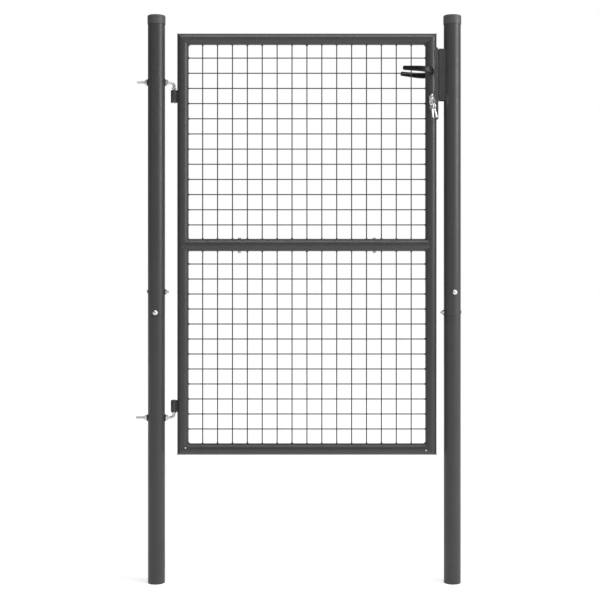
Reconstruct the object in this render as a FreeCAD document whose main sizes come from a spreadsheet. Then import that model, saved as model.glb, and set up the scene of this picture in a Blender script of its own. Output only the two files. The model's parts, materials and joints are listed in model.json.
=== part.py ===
"""Garden gate: a welded tube leaf with mesh panels, hung on J-bolts between two round posts.

Millimetres. The origin is the foot of the hinge post's axis, +X runs to the latch post, +Z up.
The leaf opens towards -Y.
"""
import FreeCAD, Part
import math
import os
import re

import Sketcher

Vector = FreeCAD.Vector
Rotation = FreeCAD.Rotation

DIMENSIONS = {
    # posts
    "gate_height": 2000, "post_spacing": 1044, "post_diameter": 60, "post_wall": 1.5,
    "joint_height": 942, "neck_length": 110, "neck_gap": 0.1, "neck_shoulder": 1.5,
    "cap_diameter": 63, "cap_height": 31, "cap_lid": 3, "cap_edge": 3.5,
    "latch_post_turn": 13.5,
    # bolts through the post joints
    "joint_bolt_low": 11, "joint_bolt_gap": 72, "joint_bolt": 8, "joint_bolt_hole": 8.5,
    "joint_head": 17.5, "joint_head_rise": 4.6, "joint_nut_width": 13, "joint_nut_thick": 6.5,
    "joint_saddle": 20, "joint_saddle_reach": 32, "joint_bolt_end": 5, "saddle_bite": 6,
    # hinges
    "pin_x": 62, "rod_diameter": 10, "rod_bend": 14, "rod_hole": 10.4, "pin_gap": 0.05,
    "upper_rod_height": 1764, "lower_rod_height": 581, "upper_rod_tip": 68, "lower_rod_tip": 72,
    "rod_saddle": 24, "rod_saddle_reach": 33, "rod_nut_width": 17, "rod_nut_thick": 8,
    "sleeve_diameter": 23, "upper_sleeve_foot": 1692.5, "upper_sleeve_length": 44,
    "lower_sleeve_foot": 602, "lower_sleeve_length": 41, "pin_overrun": 2,
    "collar_diameter": 16.6, "collar_thick": 3.5, "upper_collar_gap": 5, "lower_collar_gap": 0.5,
    # leaf
    "leaf_left": 73.5, "leaf_width": 915, "leaf_foot": 450.5, "leaf_height": 1486,
    "frame_tube": 40, "frame_wall": 1.5, "mid_rail_axis": 1190.5, "mid_rail_tube": 44,
    "wire": 4, "upright_pitch": 52.6,
    "upper_wire_low": 1261.5, "upper_wire_pitch": 53.5,
    "lower_wire_low": 541.6, "lower_wire_pitch": 52.9,
    "rail_bolt": 6, "rail_bolt_spread": 238, "rail_bolt_head": 4, "rail_nut_thick": 5,
    "rail_bolt_width": 10, "rail_bolt_end": 3,
    "vent_plug": 5.6, "vent_plug_length": 6.2, "vent_plug_face": 20.4,
    "left_vent_in": 31.5, "left_vent_up": 27, "right_vent_in": 38.5, "right_vent_up": 18.4,
    # lock housing, case and their screws
    "lock_proud": 5, "housing_width": 33.2, "housing_sheet": 2, "housing_low": 1634,
    "housing_high": 1893, "housing_chamfer": 12,
    "case_back": 15, "case_width": 15.6, "case_sheet": 1.3, "case_low": 1646, "case_high": 1879,
    "case_screw": 4, "case_screw_head": 8, "case_screw_length": 11, "case_screw_inset": 8,
    "case_slot_gap": 1,
    # handle
    "handle_height": 1799, "spindle_side": 8, "spindle_reach": 44, "hub_radius": 10,
    "hub_width": 12, "journal_radius": 8, "journal_gap": 0.05, "journal_overrun": 1,
    "arm_width": 7, "arm_reach": 17, "arm_lean": 34, "arm_front": 5, "arm_thick": 5.4,
    "tail_arm_width": 6, "tail_arm_reach": 17.5,
    "bush_radius": 9.5, "bush_flange": 11, "bush_face": 24, "bush_inner": 12,
    "lever_reach": 104, "lever_out": 76, "lever_lean": 12.5, "lever_thick": 13,
    "lever_height": 22, "lever_tip_height": 14.5, "lever_bend": 42, "lever_round": 3,
    "lever_tilt": 2.2, "lever_drop": 1,
    "grub_screw": 5, "grub_length": 5, "grub_out": 35,
    # latch bolt and dead bolt
    "latch_rise": 33, "bolt_tall": 24, "bolt_thick": 11, "latch_out": 12, "latch_length": 26,
    "latch_bevel": 9, "tail_plate": 2.5, "tail_plate_y": 1, "latch_peg": 5, "latch_peg_rise": 14,
    "latch_peg_x": 2, "dead_bolt_drop": 46, "dead_bolt_length": 20, "dead_bolt_tail": 16,
    "dead_bolt_set_back": 0.5, "dead_bolt_talon": 16, "bolt_gap": 0.3, "plate_lap": 3,
    "talon_inset": 4, "talon_width": 7, "talon_depth": 7,
    "spring_radius": 2.8, "spring_end_gap": 0.1,
    "latch_spring_wire": 0.8, "latch_spring_turns": 8, "latch_spring_front": 3,
    "latch_spring_up": 4, "return_spring_wire": 1, "return_spring_turns": 6,
    "return_spring_front": 2.4, "return_spring_down": 14,
    # profile cylinder, plug, cam and keys
    "cylinder_drop": 92, "cylinder_radius": 8.5, "cylinder_web": 10, "cylinder_depth": 24.5,
    "cylinder_reach": 32, "cylinder_gap": 0.3, "plug_radius": 6.5, "plug_end": 5.2,
    "cam_width": 9, "cam_slot": 10, "cam_hub": 8, "cam_nose": 13, "cam_nose_width": 6,
    "cam_clear": 15.8, "cylinder_screw": 5, "cylinder_screw_drop": 20,
    "cylinder_screw_length": 30,
    "key_thick": 2.2, "key_bow": 12, "key_blade": 41, "key_blade_width": 8.4,
    "key_slot_offset": 6, "key_slot_radius": 2.5, "key_slot_half": 8, "key_out": 47.5,
    "bit_first": 3, "bit_pitch": 4, "bit_width": 1.6, "bit_widening": 0.4, "bit_depth": 1.6,
    "keyway_width": 2.4, "keyway_height": 8.6, "keyway_depth": 25.6,
    "ring_radius": 9.5, "ring_wire": 2, "ring_gap": 0.1, "spare_key_gap": 0.6,
    "spare_key_yaw": 28,
    # keeper
    "keeper_low": 1700, "keeper_high": 1881, "keeper_gap": 2, "keeper_sheet": 3,
    "keeper_width": 34.4, "stop_reach": 13.5, "keeper_hole": 26, "keeper_hole_width": 13,
}

doc = FreeCAD.newDocument("GardenGate")
sheet = doc.addObject("Spreadsheet::Sheet", "Dims")
for row, (alias, size) in enumerate(DIMENSIONS.items(), start=1):
    sheet.set(f"A{row}", alias)
    sheet.set(f"B{row}", str(size))
    sheet.setAlias(f"B{row}", alias)
doc.recompute()

NODES = []
ALONG = {
    "X": Rotation(Vector(0, 1, 0), 90),
    "Y": Rotation(Vector(1, 0, 0), -90),
    "Z": Rotation(),
}

# Cutting tools are longer than what they cut: this long, or this far past a face.
THROUGH = 120
HALF_THROUGH = THROUGH / 2
OVER = 1
TOLERANCE = 0.1

# Places on the gate, as expressions over the sheet.
LEAF_RIGHT = "(leaf_left + leaf_width)"
LEAF_TOP = "(leaf_foot + leaf_height)"
HINGE_STILE_X = "(leaf_left + frame_tube / 2)"
LOCK_STILE_X = "(leaf_left + leaf_width - frame_tube / 2)"
LEAF_MIDDLE_X = "(leaf_left + leaf_width / 2)"
TOP_RAIL_Z = "(leaf_foot + leaf_height - frame_tube / 2)"
BOTTOM_RAIL_Z = "(leaf_foot + frame_tube / 2)"
LOCK_FACE_X = "(leaf_left + leaf_width + lock_proud)"
KEEPER_X = "(leaf_left + leaf_width + lock_proud + keeper_gap)"
LATCH_Z = "(handle_height + latch_rise)"
DEAD_BOLT_Z = "(handle_height - dead_bolt_drop)"
CYLINDER_Z = "(handle_height - cylinder_drop)"


def expression(text):
    """Prefixes every alias in an expression with the name of the sheet."""
    def link(match):
        word = match.group(0)
        return f"Dims.{word}" if word in DIMENSIONS else word
    return re.sub(r"[a-z_]+", link, str(text))


def value(text):
    """The present value of an expression over the sheet, in millimetres or degrees."""
    found = sheet.evalExpression(expression(text))
    return float(getattr(found, "Value", found))


def bind(thing, name, text):
    """Ties one property of an object to the sheet."""
    thing.setExpression(name, expression(text))


def place(thing, x=0, y=0, z=0, turn=None):
    """Puts an object at a point bound to the sheet, turned by a fixed rotation."""
    if turn is not None:
        thing.Placement = FreeCAD.Placement(Vector(), turn)
    for letter, text in zip("xyz", (x, y, z)):
        bind(thing, f"Placement.Base.{letter}", text)
    return thing


def cylinder(name, radius, length, start, along="Z"):
    """A round bar that starts at a point and runs in the positive direction of an axis."""
    bar = doc.addObject("Part::Cylinder", name)
    bind(bar, "Radius", radius)
    bind(bar, "Height", length)
    return place(bar, *start, turn=ALONG[along])


def block(name, low, size):
    """A box given by its lowest corner and its three sides."""
    box = doc.addObject("Part::Box", name)
    for side, text in zip(("Length", "Width", "Height"), size):
        bind(box, side, text)
    return place(box, *low)


def hexagon(name, width, length, start, along="Z"):
    """A six-sided bar with the given width across its flats."""
    bar = doc.addObject("Part::Prism", name)
    bar.Polygon = 6
    bind(bar, "Circumradius", f"({width}) / sqrt(3)")
    bind(bar, "Height", length)
    return place(bar, *start, turn=ALONG[along])


def fuse(name, *parts):
    """Several overlapping shapes joined into one."""
    result = doc.addObject("Part::MultiFuse", name)
    result.Shapes = list(parts)
    result.Refine = True
    return result


def cut(name, base, *tools):
    """A shape with one or more tools taken out of it."""
    result = doc.addObject("Part::Cut", name)
    result.Base = base
    result.Tool = tools[0] if len(tools) == 1 else fuse(f"{name}_tools", *tools)
    return result


def common(name, first, second):
    """What two shapes have in common."""
    result = doc.addObject("Part::MultiCommon", name)
    result.Shapes = [first, second]
    return result


def group(name, parts):
    """Several separate solids of one kind, kept in one node."""
    result = doc.addObject("Part::Compound", name)
    result.Links = list(parts)
    return result


def node(thing, name):
    """Names a finished sub-part, which is one node of the assembly."""
    thing.Label = name
    NODES.append(thing)
    return thing


def sketch_on(body, role, name):
    """An empty sketch on one of a body's own origin planes."""
    sketch = body.newObject("Sketcher::SketchObject", name)
    plane = next(f for f in body.Origin.OriginFeatures if f.Role == role)
    sketch.AttachmentSupport = [(plane, "")]
    sketch.MapMode = "FlatFace"
    return sketch


def outline(sketch, corners):
    """A closed outline of straight sides, each corner bound to the sheet."""
    points = [Vector(value(across), value(up), 0) for across, up in corners]
    count = len(points)
    for index, point in enumerate(points):
        sketch.addGeometry(Part.LineSegment(point, points[(index + 1) % count]), False)
    for index in range(count):
        joined = Sketcher.Constraint("Coincident", index, 2, (index + 1) % count, 1)
        sketch.addConstraint(joined)
    for index, texts in enumerate(corners):
        for kind, text in zip(("DistanceX", "DistanceY"), texts):
            size = Sketcher.Constraint(kind, -1, 1, index, 1, value(text))
            number = sketch.addConstraint(size)
            sketch.setExpression(f"Constraints[{number}]", expression(text))


def turned(name, profile):
    """A body turned about its Z axis from an outline of (radius, height) corners."""
    body = doc.addObject("PartDesign::Body", name)
    sketch = sketch_on(body, "XZ_Plane", f"{name}_profile")
    outline(sketch, profile)
    revolution = body.newObject("PartDesign::Revolution", f"{name}_turned")
    revolution.Profile = sketch
    revolution.ReferenceAxis = (sketch, ["V_Axis"])
    revolution.Angle = 360
    sketch.Visibility = False
    return body


def padded(name, role, corners, thickness):
    """A body padded equally to both sides of one of its own planes."""
    body = doc.addObject("PartDesign::Body", name)
    sketch = sketch_on(body, role, f"{name}_outline")
    outline(sketch, corners)
    pad = body.newObject("PartDesign::Pad", f"{name}_pad")
    pad.Profile = sketch
    pad.Midplane = True
    bind(pad, "Length", thickness)
    return body


def pocket_through(body, role, corners, depth):
    """Removes an outline from a body, equally to both sides of one of its planes."""
    sketch = sketch_on(body, role, f"{body.Name}_pocket_outline")
    outline(sketch, corners)
    pocket = body.newObject("PartDesign::Pocket", f"{body.Name}_pocket")
    pocket.Profile = sketch
    pocket.Midplane = True
    bind(pocket, "Length", depth)
    return pocket


def ring(name, outer, inner, length, start, along="Z"):
    """A round bar with a round hole along it."""
    return cut(
        name,
        cylinder(f"{name}_outside", outer, length, start, along),
        cylinder(f"{name}_bore", inner, length, start, along),
    )


def half_space(name, x, z, angle):
    """A large block whose face passes through a point; it lies on the side the angle looks to.

    The angle is measured about +Y from straight up, so 90 looks along +X.
    """
    tool = block(name, (0, 0, 0), (THROUGH, THROUGH, THROUGH))
    return place(
        tool,
        f"{x} - {HALF_THROUGH} * cos({angle} deg)",
        -HALF_THROUGH,
        f"{z} + {HALF_THROUGH} * sin({angle} deg)",
        turn=Rotation(Vector(0, 1, 0), angle),
    )


# ---------------------------------------------------------------- posts

def lower_post_profile():
    """The lower tube, drawn in at its top so that it slides into the upper tube."""
    outer = "post_diameter / 2"
    inner = "(post_diameter / 2 - post_wall)"
    neck = f"({inner} - neck_gap)"
    return [
        (outer, "0"),
        (outer, "joint_height - neck_shoulder"),
        (neck, "joint_height"),
        (neck, "joint_height + neck_length"),
        (f"{neck} - post_wall", "joint_height + neck_length"),
        (f"{neck} - post_wall", "joint_height - post_wall / 2"),
        (inner, "joint_height - neck_shoulder - post_wall / 2"),
        (inner, "0"),
    ]


def cap_profile():
    """A push-on cap: a skirt outside the tube and a lid over its end."""
    return [
        ("0", "0"),
        ("post_diameter / 2", "0"),
        ("post_diameter / 2", "cap_lid - cap_height"),
        ("cap_diameter / 2", "cap_lid - cap_height"),
        ("cap_diameter / 2", "cap_lid"),
        ("0", "cap_lid"),
    ]


def joint_bolt_height(which):
    """The height of the low or the high bolt through a post's joint."""
    low = "joint_height + joint_bolt_low"
    return low if which == "low" else f"{low} + joint_bolt_gap"


def along_axis(along, distance, height):
    """A point at a distance from the post's axis, along X or Y."""
    return {"X": (distance, 0, height), "Y": (0, distance, height)}[along]


def carriage_bolt(name, along, height, head_side):
    """A dome-headed bolt through the post, with its head on the given side (-1 or +1)."""
    reach = "(post_diameter / 2)"
    tail = "(joint_saddle_reach + joint_nut_thick + joint_bolt_end)"
    shank_low = f"-{reach}" if head_side < 0 else f"-{tail}"
    head_low = f"-({reach} + joint_head_rise)" if head_side < 0 else reach
    shank = cylinder(f"{name}_shank", "joint_bolt / 2", f"{reach} + {tail}",
                     along_axis(along, shank_low, height), along)
    ball_radius = "((joint_head ^ 2 / 4 + joint_head_rise ^ 2) / (2 * joint_head_rise))"
    ball = doc.addObject("Part::Sphere", f"{name}_ball")
    bind(ball, "Radius", ball_radius)
    ball_centre = f"{head_side} * ({reach} + joint_head_rise - {ball_radius})"
    place(ball, *along_axis(along, ball_centre, height))
    disc = cylinder(f"{name}_disc", "joint_head / 2", "joint_head_rise",
                    along_axis(along, head_low, height), along)
    return fuse(name, shank, common(f"{name}_dome", ball, disc))


def nut(name, width, thickness, bore, start, along):
    """A hexagon nut along an axis."""
    return cut(
        name,
        hexagon(f"{name}_hexagon", width, thickness, start, along),
        cylinder(f"{name}_bore", bore, thickness, start, along),
    )


def saddle(name, diameter, reach, hole, height, along, side):
    """A washer that is flat outside and hollowed to fit the round post inside."""
    inner = "(post_diameter / 2 - saddle_bite)"
    start = along_axis(along, inner if side > 0 else f"-{reach}", height)
    length = f"{reach} - {inner}"
    return cut(
        name,
        cylinder(f"{name}_disc", f"{diameter} / 2", length, start, along),
        cylinder(f"{name}_post", "post_diameter / 2", THROUGH,
                 (0, 0, f"{height} - {HALF_THROUGH}")),
        cylinder(f"{name}_hole", f"{hole} / 2", length, start, along),
    )


def post(prefix, x, turn, bolts, rods):
    """One two-part post with its cap and the bolts through its joint."""
    lower_holes = []
    upper_holes = []
    joint_bolts = []
    joint_nuts = []
    joint_saddles = []
    for which, along, head_side in bolts:
        height = joint_bolt_height(which)
        start = along_axis(along, -HALF_THROUGH, height)
        for half, holes in (("lower", lower_holes), ("upper", upper_holes)):
            hole_name = f"{prefix}_{half}_{which}_hole"
            holes.append(cylinder(hole_name, "joint_bolt_hole / 2", THROUGH, start, along))
        joint_bolts.append(carriage_bolt(f"{prefix}_{which}_bolt", along, height, head_side))
        side = -head_side
        low = "joint_saddle_reach" if side > 0 else "-joint_saddle_reach - joint_nut_thick"
        nut_start = along_axis(along, low, height)
        joint_nuts.append(nut(f"{prefix}_{which}_nut", "joint_nut_width", "joint_nut_thick",
                              "joint_bolt / 2", nut_start, along))
        joint_saddles.append(saddle(f"{prefix}_{which}_saddle", "joint_saddle",
                                    "joint_saddle_reach", "joint_bolt", height, along, side))
    for half, height in rods:
        holes = lower_holes if half == "lower" else upper_holes
        hole_name = f"{prefix}_{half}_rod_hole"
        holes.append(cylinder(hole_name, "rod_hole / 2", THROUGH,
                              along_axis("X", -HALF_THROUGH, height), "X"))

    upper_length = "gate_height - cap_lid - joint_height"
    upper = ring(f"{prefix}_upper_blank", "post_diameter / 2", "post_diameter / 2 - post_wall",
                 upper_length, (0, 0, "joint_height"))
    lower = turned(f"{prefix}_lower_blank", lower_post_profile())
    cap = turned(f"{prefix}_cap", cap_profile())
    pieces = {
        "lower_tube": cut(f"{prefix}_lower_tube", lower, *lower_holes),
        "upper_tube": cut(f"{prefix}_upper_tube", upper, *upper_holes),
        "joint_bolts": group(f"{prefix}_joint_bolts", joint_bolts),
        "joint_nuts": group(f"{prefix}_joint_nuts", joint_nuts),
        "joint_saddles": group(f"{prefix}_joint_saddles", joint_saddles),
    }
    upright = Rotation(Vector(0, 0, 1), value(turn))
    for name, piece in pieces.items():
        node(place(piece, x, turn=upright), f"{prefix}_{name}")
    doc.recompute()
    round_edge(cap, lambda edge: edge.BoundBox.ZMin > value("cap_lid") - TOLERANCE, "cap_edge")
    node(place(cap, x, 0, "gate_height - cap_lid"), f"{prefix}_cap")


def round_edge(body, wanted, radius):
    """Fillets the edges of a body's last feature that the test picks out."""
    tip = body.Tip
    names = [f"Edge{number}" for number, edge in enumerate(tip.Shape.Edges, start=1)
             if wanted(edge)]
    fillet = body.newObject("PartDesign::Fillet", f"{body.Name}_fillet")
    fillet.Base = (tip, names)
    bind(fillet, "Radius", radius)
    return fillet


post("hinge_post", 0, 0, (("low", "Y", -1), ("high", "X", -1)),
     (("lower", "lower_rod_height"), ("upper", "upper_rod_height")))
post("latch_post", "post_spacing", "latch_post_turn", (("low", "X", 1), ("high", "Y", -1)), ())


# ---------------------------------------------------------------- hinges

def hinge(prefix, height, tip, down, sleeve_foot, sleeve_length, collar_foot):
    """A J-bolt through the hinge post with its nuts and saddle washers."""
    radius = "rod_diameter / 2"
    way = -1 if down else 1
    straight = cylinder(f"{prefix}_straight", radius, f"{tip} + pin_x - rod_bend",
                        (f"-{tip}", 0, height), "X")
    bend = doc.addObject("Part::Torus", f"{prefix}_bend")
    bind(bend, "Radius1", "rod_bend")
    bind(bend, "Radius2", radius)
    bend.Angle3 = 90
    place(bend, "pin_x - rod_bend", 0, f"{height} + {way} * rod_bend",
          turn=Rotation(Vector(1, 0, 0), 90 if down else -90))
    if down:
        foot = f"{sleeve_foot} - pin_overrun"
        length = f"{height} - rod_bend - ({foot})"
    else:
        foot = f"{height} + rod_bend"
        length = f"{sleeve_foot} + {sleeve_length} + pin_overrun - ({foot})"
    pin = cylinder(f"{prefix}_pin", radius, length, ("pin_x", 0, foot))
    node(fuse(f"{prefix}_rod", straight, bend, pin), f"{prefix}_rod")

    nuts = []
    saddles = []
    for side, word in ((-1, "outer"), (1, "inner")):
        low = "rod_saddle_reach" if side > 0 else "-rod_saddle_reach - rod_nut_thick"
        nuts.append(nut(f"{prefix}_{word}_nut", "rod_nut_width", "rod_nut_thick", radius,
                        (low, 0, height), "X"))
        saddles.append(saddle(f"{prefix}_{word}_saddle", "rod_saddle", "rod_saddle_reach",
                              "rod_diameter", height, "X", side))
    node(group(f"{prefix}_nuts", nuts), f"{prefix}_nuts")
    node(group(f"{prefix}_saddles", saddles), f"{prefix}_saddles")

    sleeve = ring(f"{prefix}_sleeve", "sleeve_diameter / 2", f"{radius} + pin_gap",
                  sleeve_length, ("pin_x", 0, sleeve_foot))
    node(sleeve, f"{prefix}_sleeve")
    return ring(f"{prefix}_collar", "collar_diameter / 2", radius, "collar_thick",
                ("pin_x", 0, collar_foot))


upper_collar = hinge("upper_hinge", "upper_rod_height", "upper_rod_tip", True,
                     "upper_sleeve_foot", "upper_sleeve_length",
                     "upper_sleeve_foot + upper_sleeve_length + upper_collar_gap")
lower_collar = hinge("lower_hinge", "lower_rod_height", "lower_rod_tip", False,
                     "lower_sleeve_foot", "lower_sleeve_length",
                     "lower_sleeve_foot - lower_collar_gap - collar_thick")
node(group("hinge_pin_collars", [upper_collar, lower_collar]), "hinge_pin_collars")


# ---------------------------------------------------------------- leaf frame

TUBE_RADIUS = "frame_tube / 2"
TUBE_BORE = "(frame_tube / 2 - frame_wall)"


def profile_cutter(name, low_y, length, extra):
    """The keyhole outline of the lock cylinder, as a bar along Y that is used as a cutter."""
    radius = f"(cylinder_radius + {extra})"
    half = f"(cylinder_web / 2 + {extra})"
    foot = "(cylinder_depth - cylinder_web / 2)"
    barrel = cylinder(f"{name}_barrel", radius, length, (LOCK_STILE_X, low_y, CYLINDER_Z), "Y")
    web = block(f"{name}_web", (f"{LOCK_STILE_X} - {half}", low_y, f"{CYLINDER_Z} - {foot}"),
                (f"2 * {half}", length, foot))
    toe = cylinder(f"{name}_toe", half, length,
                   (LOCK_STILE_X, low_y, f"{CYLINDER_Z} - {foot}"), "Y")
    return fuse(name, barrel, web, toe)


def stile(name, x, low_turn, high_turn, edge_x, extra_tools):
    """An upright frame tube, mitred at both ends."""
    tube = cylinder(f"{name}_outside", TUBE_RADIUS, "leaf_height", (x, 0, "leaf_foot"))
    bore = cylinder(f"{name}_bore", TUBE_BORE, "leaf_height", (x, 0, "leaf_foot"))
    low = half_space(f"{name}_low_mitre", edge_x, "leaf_foot", low_turn)
    high = half_space(f"{name}_high_mitre", edge_x, LEAF_TOP, high_turn)
    hollow = cut(f"{name}_hollow", tube, bore)
    mitred = cut(f"{name}_mitred", cut(f"{name}_low_cut", hollow, low), high)
    return node(cut(name, mitred, *extra_tools) if extra_tools else mitred, name)


def rail(name, z, left_turn, right_turn, edge_z, holes):
    """A level frame tube, mitred at both ends."""
    tube = cylinder(f"{name}_outside", TUBE_RADIUS, "leaf_width", ("leaf_left", 0, z), "X")
    bore = cylinder(f"{name}_bore", TUBE_BORE, "leaf_width", ("leaf_left", 0, z), "X")
    left = half_space(f"{name}_left_mitre", "leaf_left", edge_z, left_turn)
    right = half_space(f"{name}_right_mitre", LEAF_RIGHT, edge_z, right_turn)
    hollow = cut(f"{name}_hollow", tube, bore)
    mitred = cut(f"{name}_mitred", cut(f"{name}_left_cut", hollow, left), right)
    return node(cut(name, mitred, *holes) if holes else mitred, name)


bush_hole = cylinder("bush_hole", "bush_radius", THROUGH,
                     (LOCK_STILE_X, -HALF_THROUGH, "handle_height"), "Y")
cylinder_hole = profile_cutter("stile_cylinder_hole", -HALF_THROUGH, THROUGH, "cylinder_gap")
case_slot = block("case_slot",
                  (LOCK_STILE_X, "-case_width / 2 - cylinder_gap", "case_low - case_slot_gap"),
                  (THROUGH, "case_width + 2 * cylinder_gap",
                   "case_high - case_low + 2 * case_slot_gap"))
stile("hinge_stile", HINGE_STILE_X, 135, 45, "leaf_left", ())
stile("lock_stile", LOCK_STILE_X, -135, -45, LEAF_RIGHT, (bush_hole, cylinder_hole, case_slot))
rail("top_rail", TOP_RAIL_Z, -135, 135, LEAF_TOP, ())

VENTS = (("left", "leaf_left + left_vent_in", "leaf_foot + left_vent_up"),
         ("right", f"{LEAF_RIGHT} - right_vent_in", "leaf_foot + right_vent_up"))
vent_holes = [cylinder(f"vent_hole_{word}", "vent_plug / 2", "frame_tube",
                       (x, "-frame_tube", z), "Y") for word, x, z in VENTS]
rail("bottom_rail", BOTTOM_RAIL_Z, -45, 45, "leaf_foot", vent_holes)
vent_plugs = [cylinder(f"vent_plug_{word}", "vent_plug / 2", "vent_plug_length",
                       (x, "-vent_plug_face", z), "Y") for word, x, z in VENTS]
node(group("vent_plugs", vent_plugs), "vent_plugs")

MID_RADIUS = "(mid_rail_tube / 2)"
MID_TOP = f"(mid_rail_axis + {MID_RADIUS})"
MID_UNDERSIDE = f"(mid_rail_axis - {MID_RADIUS})"
mid_tube = ring("mid_rail_blank", MID_RADIUS, f"{MID_RADIUS} - frame_wall",
                "leaf_width - frame_tube", (HINGE_STILE_X, 0, "mid_rail_axis"), "X")
coping = [cylinder(f"coping_{number}", TUBE_RADIUS, THROUGH,
                   (x, 0, f"mid_rail_axis - {HALF_THROUGH}"))
          for number, x in enumerate((HINGE_STILE_X, LOCK_STILE_X))]
RAIL_BOLT_X = [f"({LEAF_MIDDLE_X} {sign} rail_bolt_spread)" for sign in "-+"]
bolt_holes = [cylinder(f"rail_bolt_hole_{number}", "rail_bolt / 2", THROUGH,
                       (x, 0, f"mid_rail_axis - {HALF_THROUGH}"))
              for number, x in enumerate(RAIL_BOLT_X)]
node(cut("mid_rail", mid_tube, *coping, *bolt_holes), "mid_rail")

rail_bolts = []
rail_nuts = []
for number, x in enumerate(RAIL_BOLT_X):
    under = "(rail_nut_thick + rail_bolt_end)"
    shank = cylinder(f"rail_shank_{number}", "rail_bolt / 2", f"mid_rail_tube + {under}",
                     (x, 0, f"{MID_UNDERSIDE} - {under}"))
    head = hexagon(f"rail_head_{number}", "rail_bolt_width", "rail_bolt_head", (x, 0, MID_TOP))
    rail_bolts.append(fuse(f"rail_bolt_{number}", shank, head))
    rail_nuts.append(nut(f"rail_nut_{number}", "rail_bolt_width", "rail_nut_thick",
                         "rail_bolt / 2", (x, 0, f"{MID_UNDERSIDE} - rail_nut_thick"), "Z"))
node(group("mid_rail_bolts", rail_bolts), "mid_rail_bolts")
node(group("mid_rail_nuts", rail_nuts), "mid_rail_nuts")


UPRIGHTS = 15
CROSSWIRES = 12


def mesh_panel(prefix, low, high, wire_low, wire_pitch):
    """Uprights behind and crosswires in front, touching where they cross."""
    uprights = []
    for number in range(UPRIGHTS):
        x = f"{LEAF_MIDDLE_X} + {number - (UPRIGHTS - 1) / 2} * upright_pitch"
        uprights.append(cylinder(f"{prefix}_upright_{number}", "wire / 2", f"{high} - {low}",
                                 (x, "wire / 2", low)))
    crosswires = []
    for number in range(CROSSWIRES):
        z = f"{wire_low} + {number} * {wire_pitch}"
        crosswires.append(cylinder(f"{prefix}_crosswire_{number}", "wire / 2",
                                   "leaf_width - 2 * frame_tube",
                                   ("leaf_left + frame_tube", "-wire / 2", z), "X"))
    node(group(f"{prefix}_uprights", uprights), f"{prefix}_uprights")
    node(group(f"{prefix}_crosswires", crosswires), f"{prefix}_crosswires")


mesh_panel("upper_mesh", MID_TOP, f"({LEAF_TOP} - frame_tube)",
           "upper_wire_low", "upper_wire_pitch")
mesh_panel("lower_mesh", "(leaf_foot + frame_tube)", MID_UNDERSIDE,
           "lower_wire_low", "lower_wire_pitch")


# ---------------------------------------------------------------- lock housing and case

HOUSING_HALF = "(housing_width / 2)"
CASE_LEFT = f"({LOCK_STILE_X} - case_back)"
CASE_RIGHT = f"({LOCK_FACE_X} - housing_sheet)"
CASE_HALF = "(case_width / 2)"
CASE_FRONT_WALL = f"({CASE_RIGHT} - 2 * case_sheet)"


def housing_outline(inset):
    """The housing seen from the front: a strip with its upper outer corner cut off."""
    right = f"{LOCK_FACE_X} - {inset}"
    top = f"housing_high - {inset}"
    corner = f"(housing_chamfer - (2 - sqrt(2)) * {inset})"
    return [
        (LOCK_STILE_X, f"housing_low + {inset}"),
        (right, f"housing_low + {inset}"),
        (right, f"{top} - {corner}"),
        (f"{right} - {corner}", top),
        (LOCK_STILE_X, top),
    ]


def bolt_window(name, z, x_low, x_high):
    """The opening that a latch bolt or dead bolt slides through."""
    half_tall = "(bolt_tall / 2 + bolt_gap)"
    half_thick = "(bolt_thick / 2 + bolt_gap)"
    return block(name, (x_low, f"-{half_thick}", f"{z} - {half_tall}"),
                 (f"{x_high} - ({x_low})", f"2 * {half_thick}", f"2 * {half_tall}"))


SCREW_HEIGHTS = ("case_low + case_screw_inset", "case_high - case_screw_inset")
SCREW_START = f"{LOCK_FACE_X} - case_screw_length"
SCREW_HEAD_START = f"{LOCK_FACE_X} - housing_sheet / 2"
CYLINDER_SCREW_Z = f"({CYLINDER_Z} - cylinder_screw_drop)"

shell = padded("housing_shell", "XZ_Plane", housing_outline("0"), "housing_width")
doc.recompute()
pocket_through(shell, "XZ_Plane", housing_outline("housing_sheet"),
               "housing_width - 2 * housing_sheet")
housing_tools = [
    cylinder("housing_stile", TUBE_RADIUS, "leaf_height", (LOCK_STILE_X, 0, "leaf_foot")),
    bolt_window("housing_latch_hole", LATCH_Z, CASE_RIGHT, f"{LOCK_FACE_X} + {OVER}"),
    bolt_window("housing_dead_hole", DEAD_BOLT_Z, CASE_RIGHT, f"{LOCK_FACE_X} + {OVER}"),
    cylinder("housing_cylinder_screw", "cylinder_screw / 2", THROUGH,
             (SCREW_START, 0, CYLINDER_SCREW_Z), "X"),
    cylinder("housing_cylinder_head", "case_screw_head / 2", THROUGH,
             (SCREW_HEAD_START, 0, CYLINDER_SCREW_Z), "X"),
]
for number, z in enumerate(SCREW_HEIGHTS):
    housing_tools.append(cylinder(f"housing_screw_{number}", "case_screw / 2", THROUGH,
                                  (SCREW_START, 0, z), "X"))
    housing_tools.append(cylinder(f"housing_screw_head_{number}", "case_screw_head / 2",
                                  THROUGH, (SCREW_HEAD_START, 0, z), "X"))
node(cut("lock_housing", shell, *housing_tools), "lock_housing")

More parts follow.
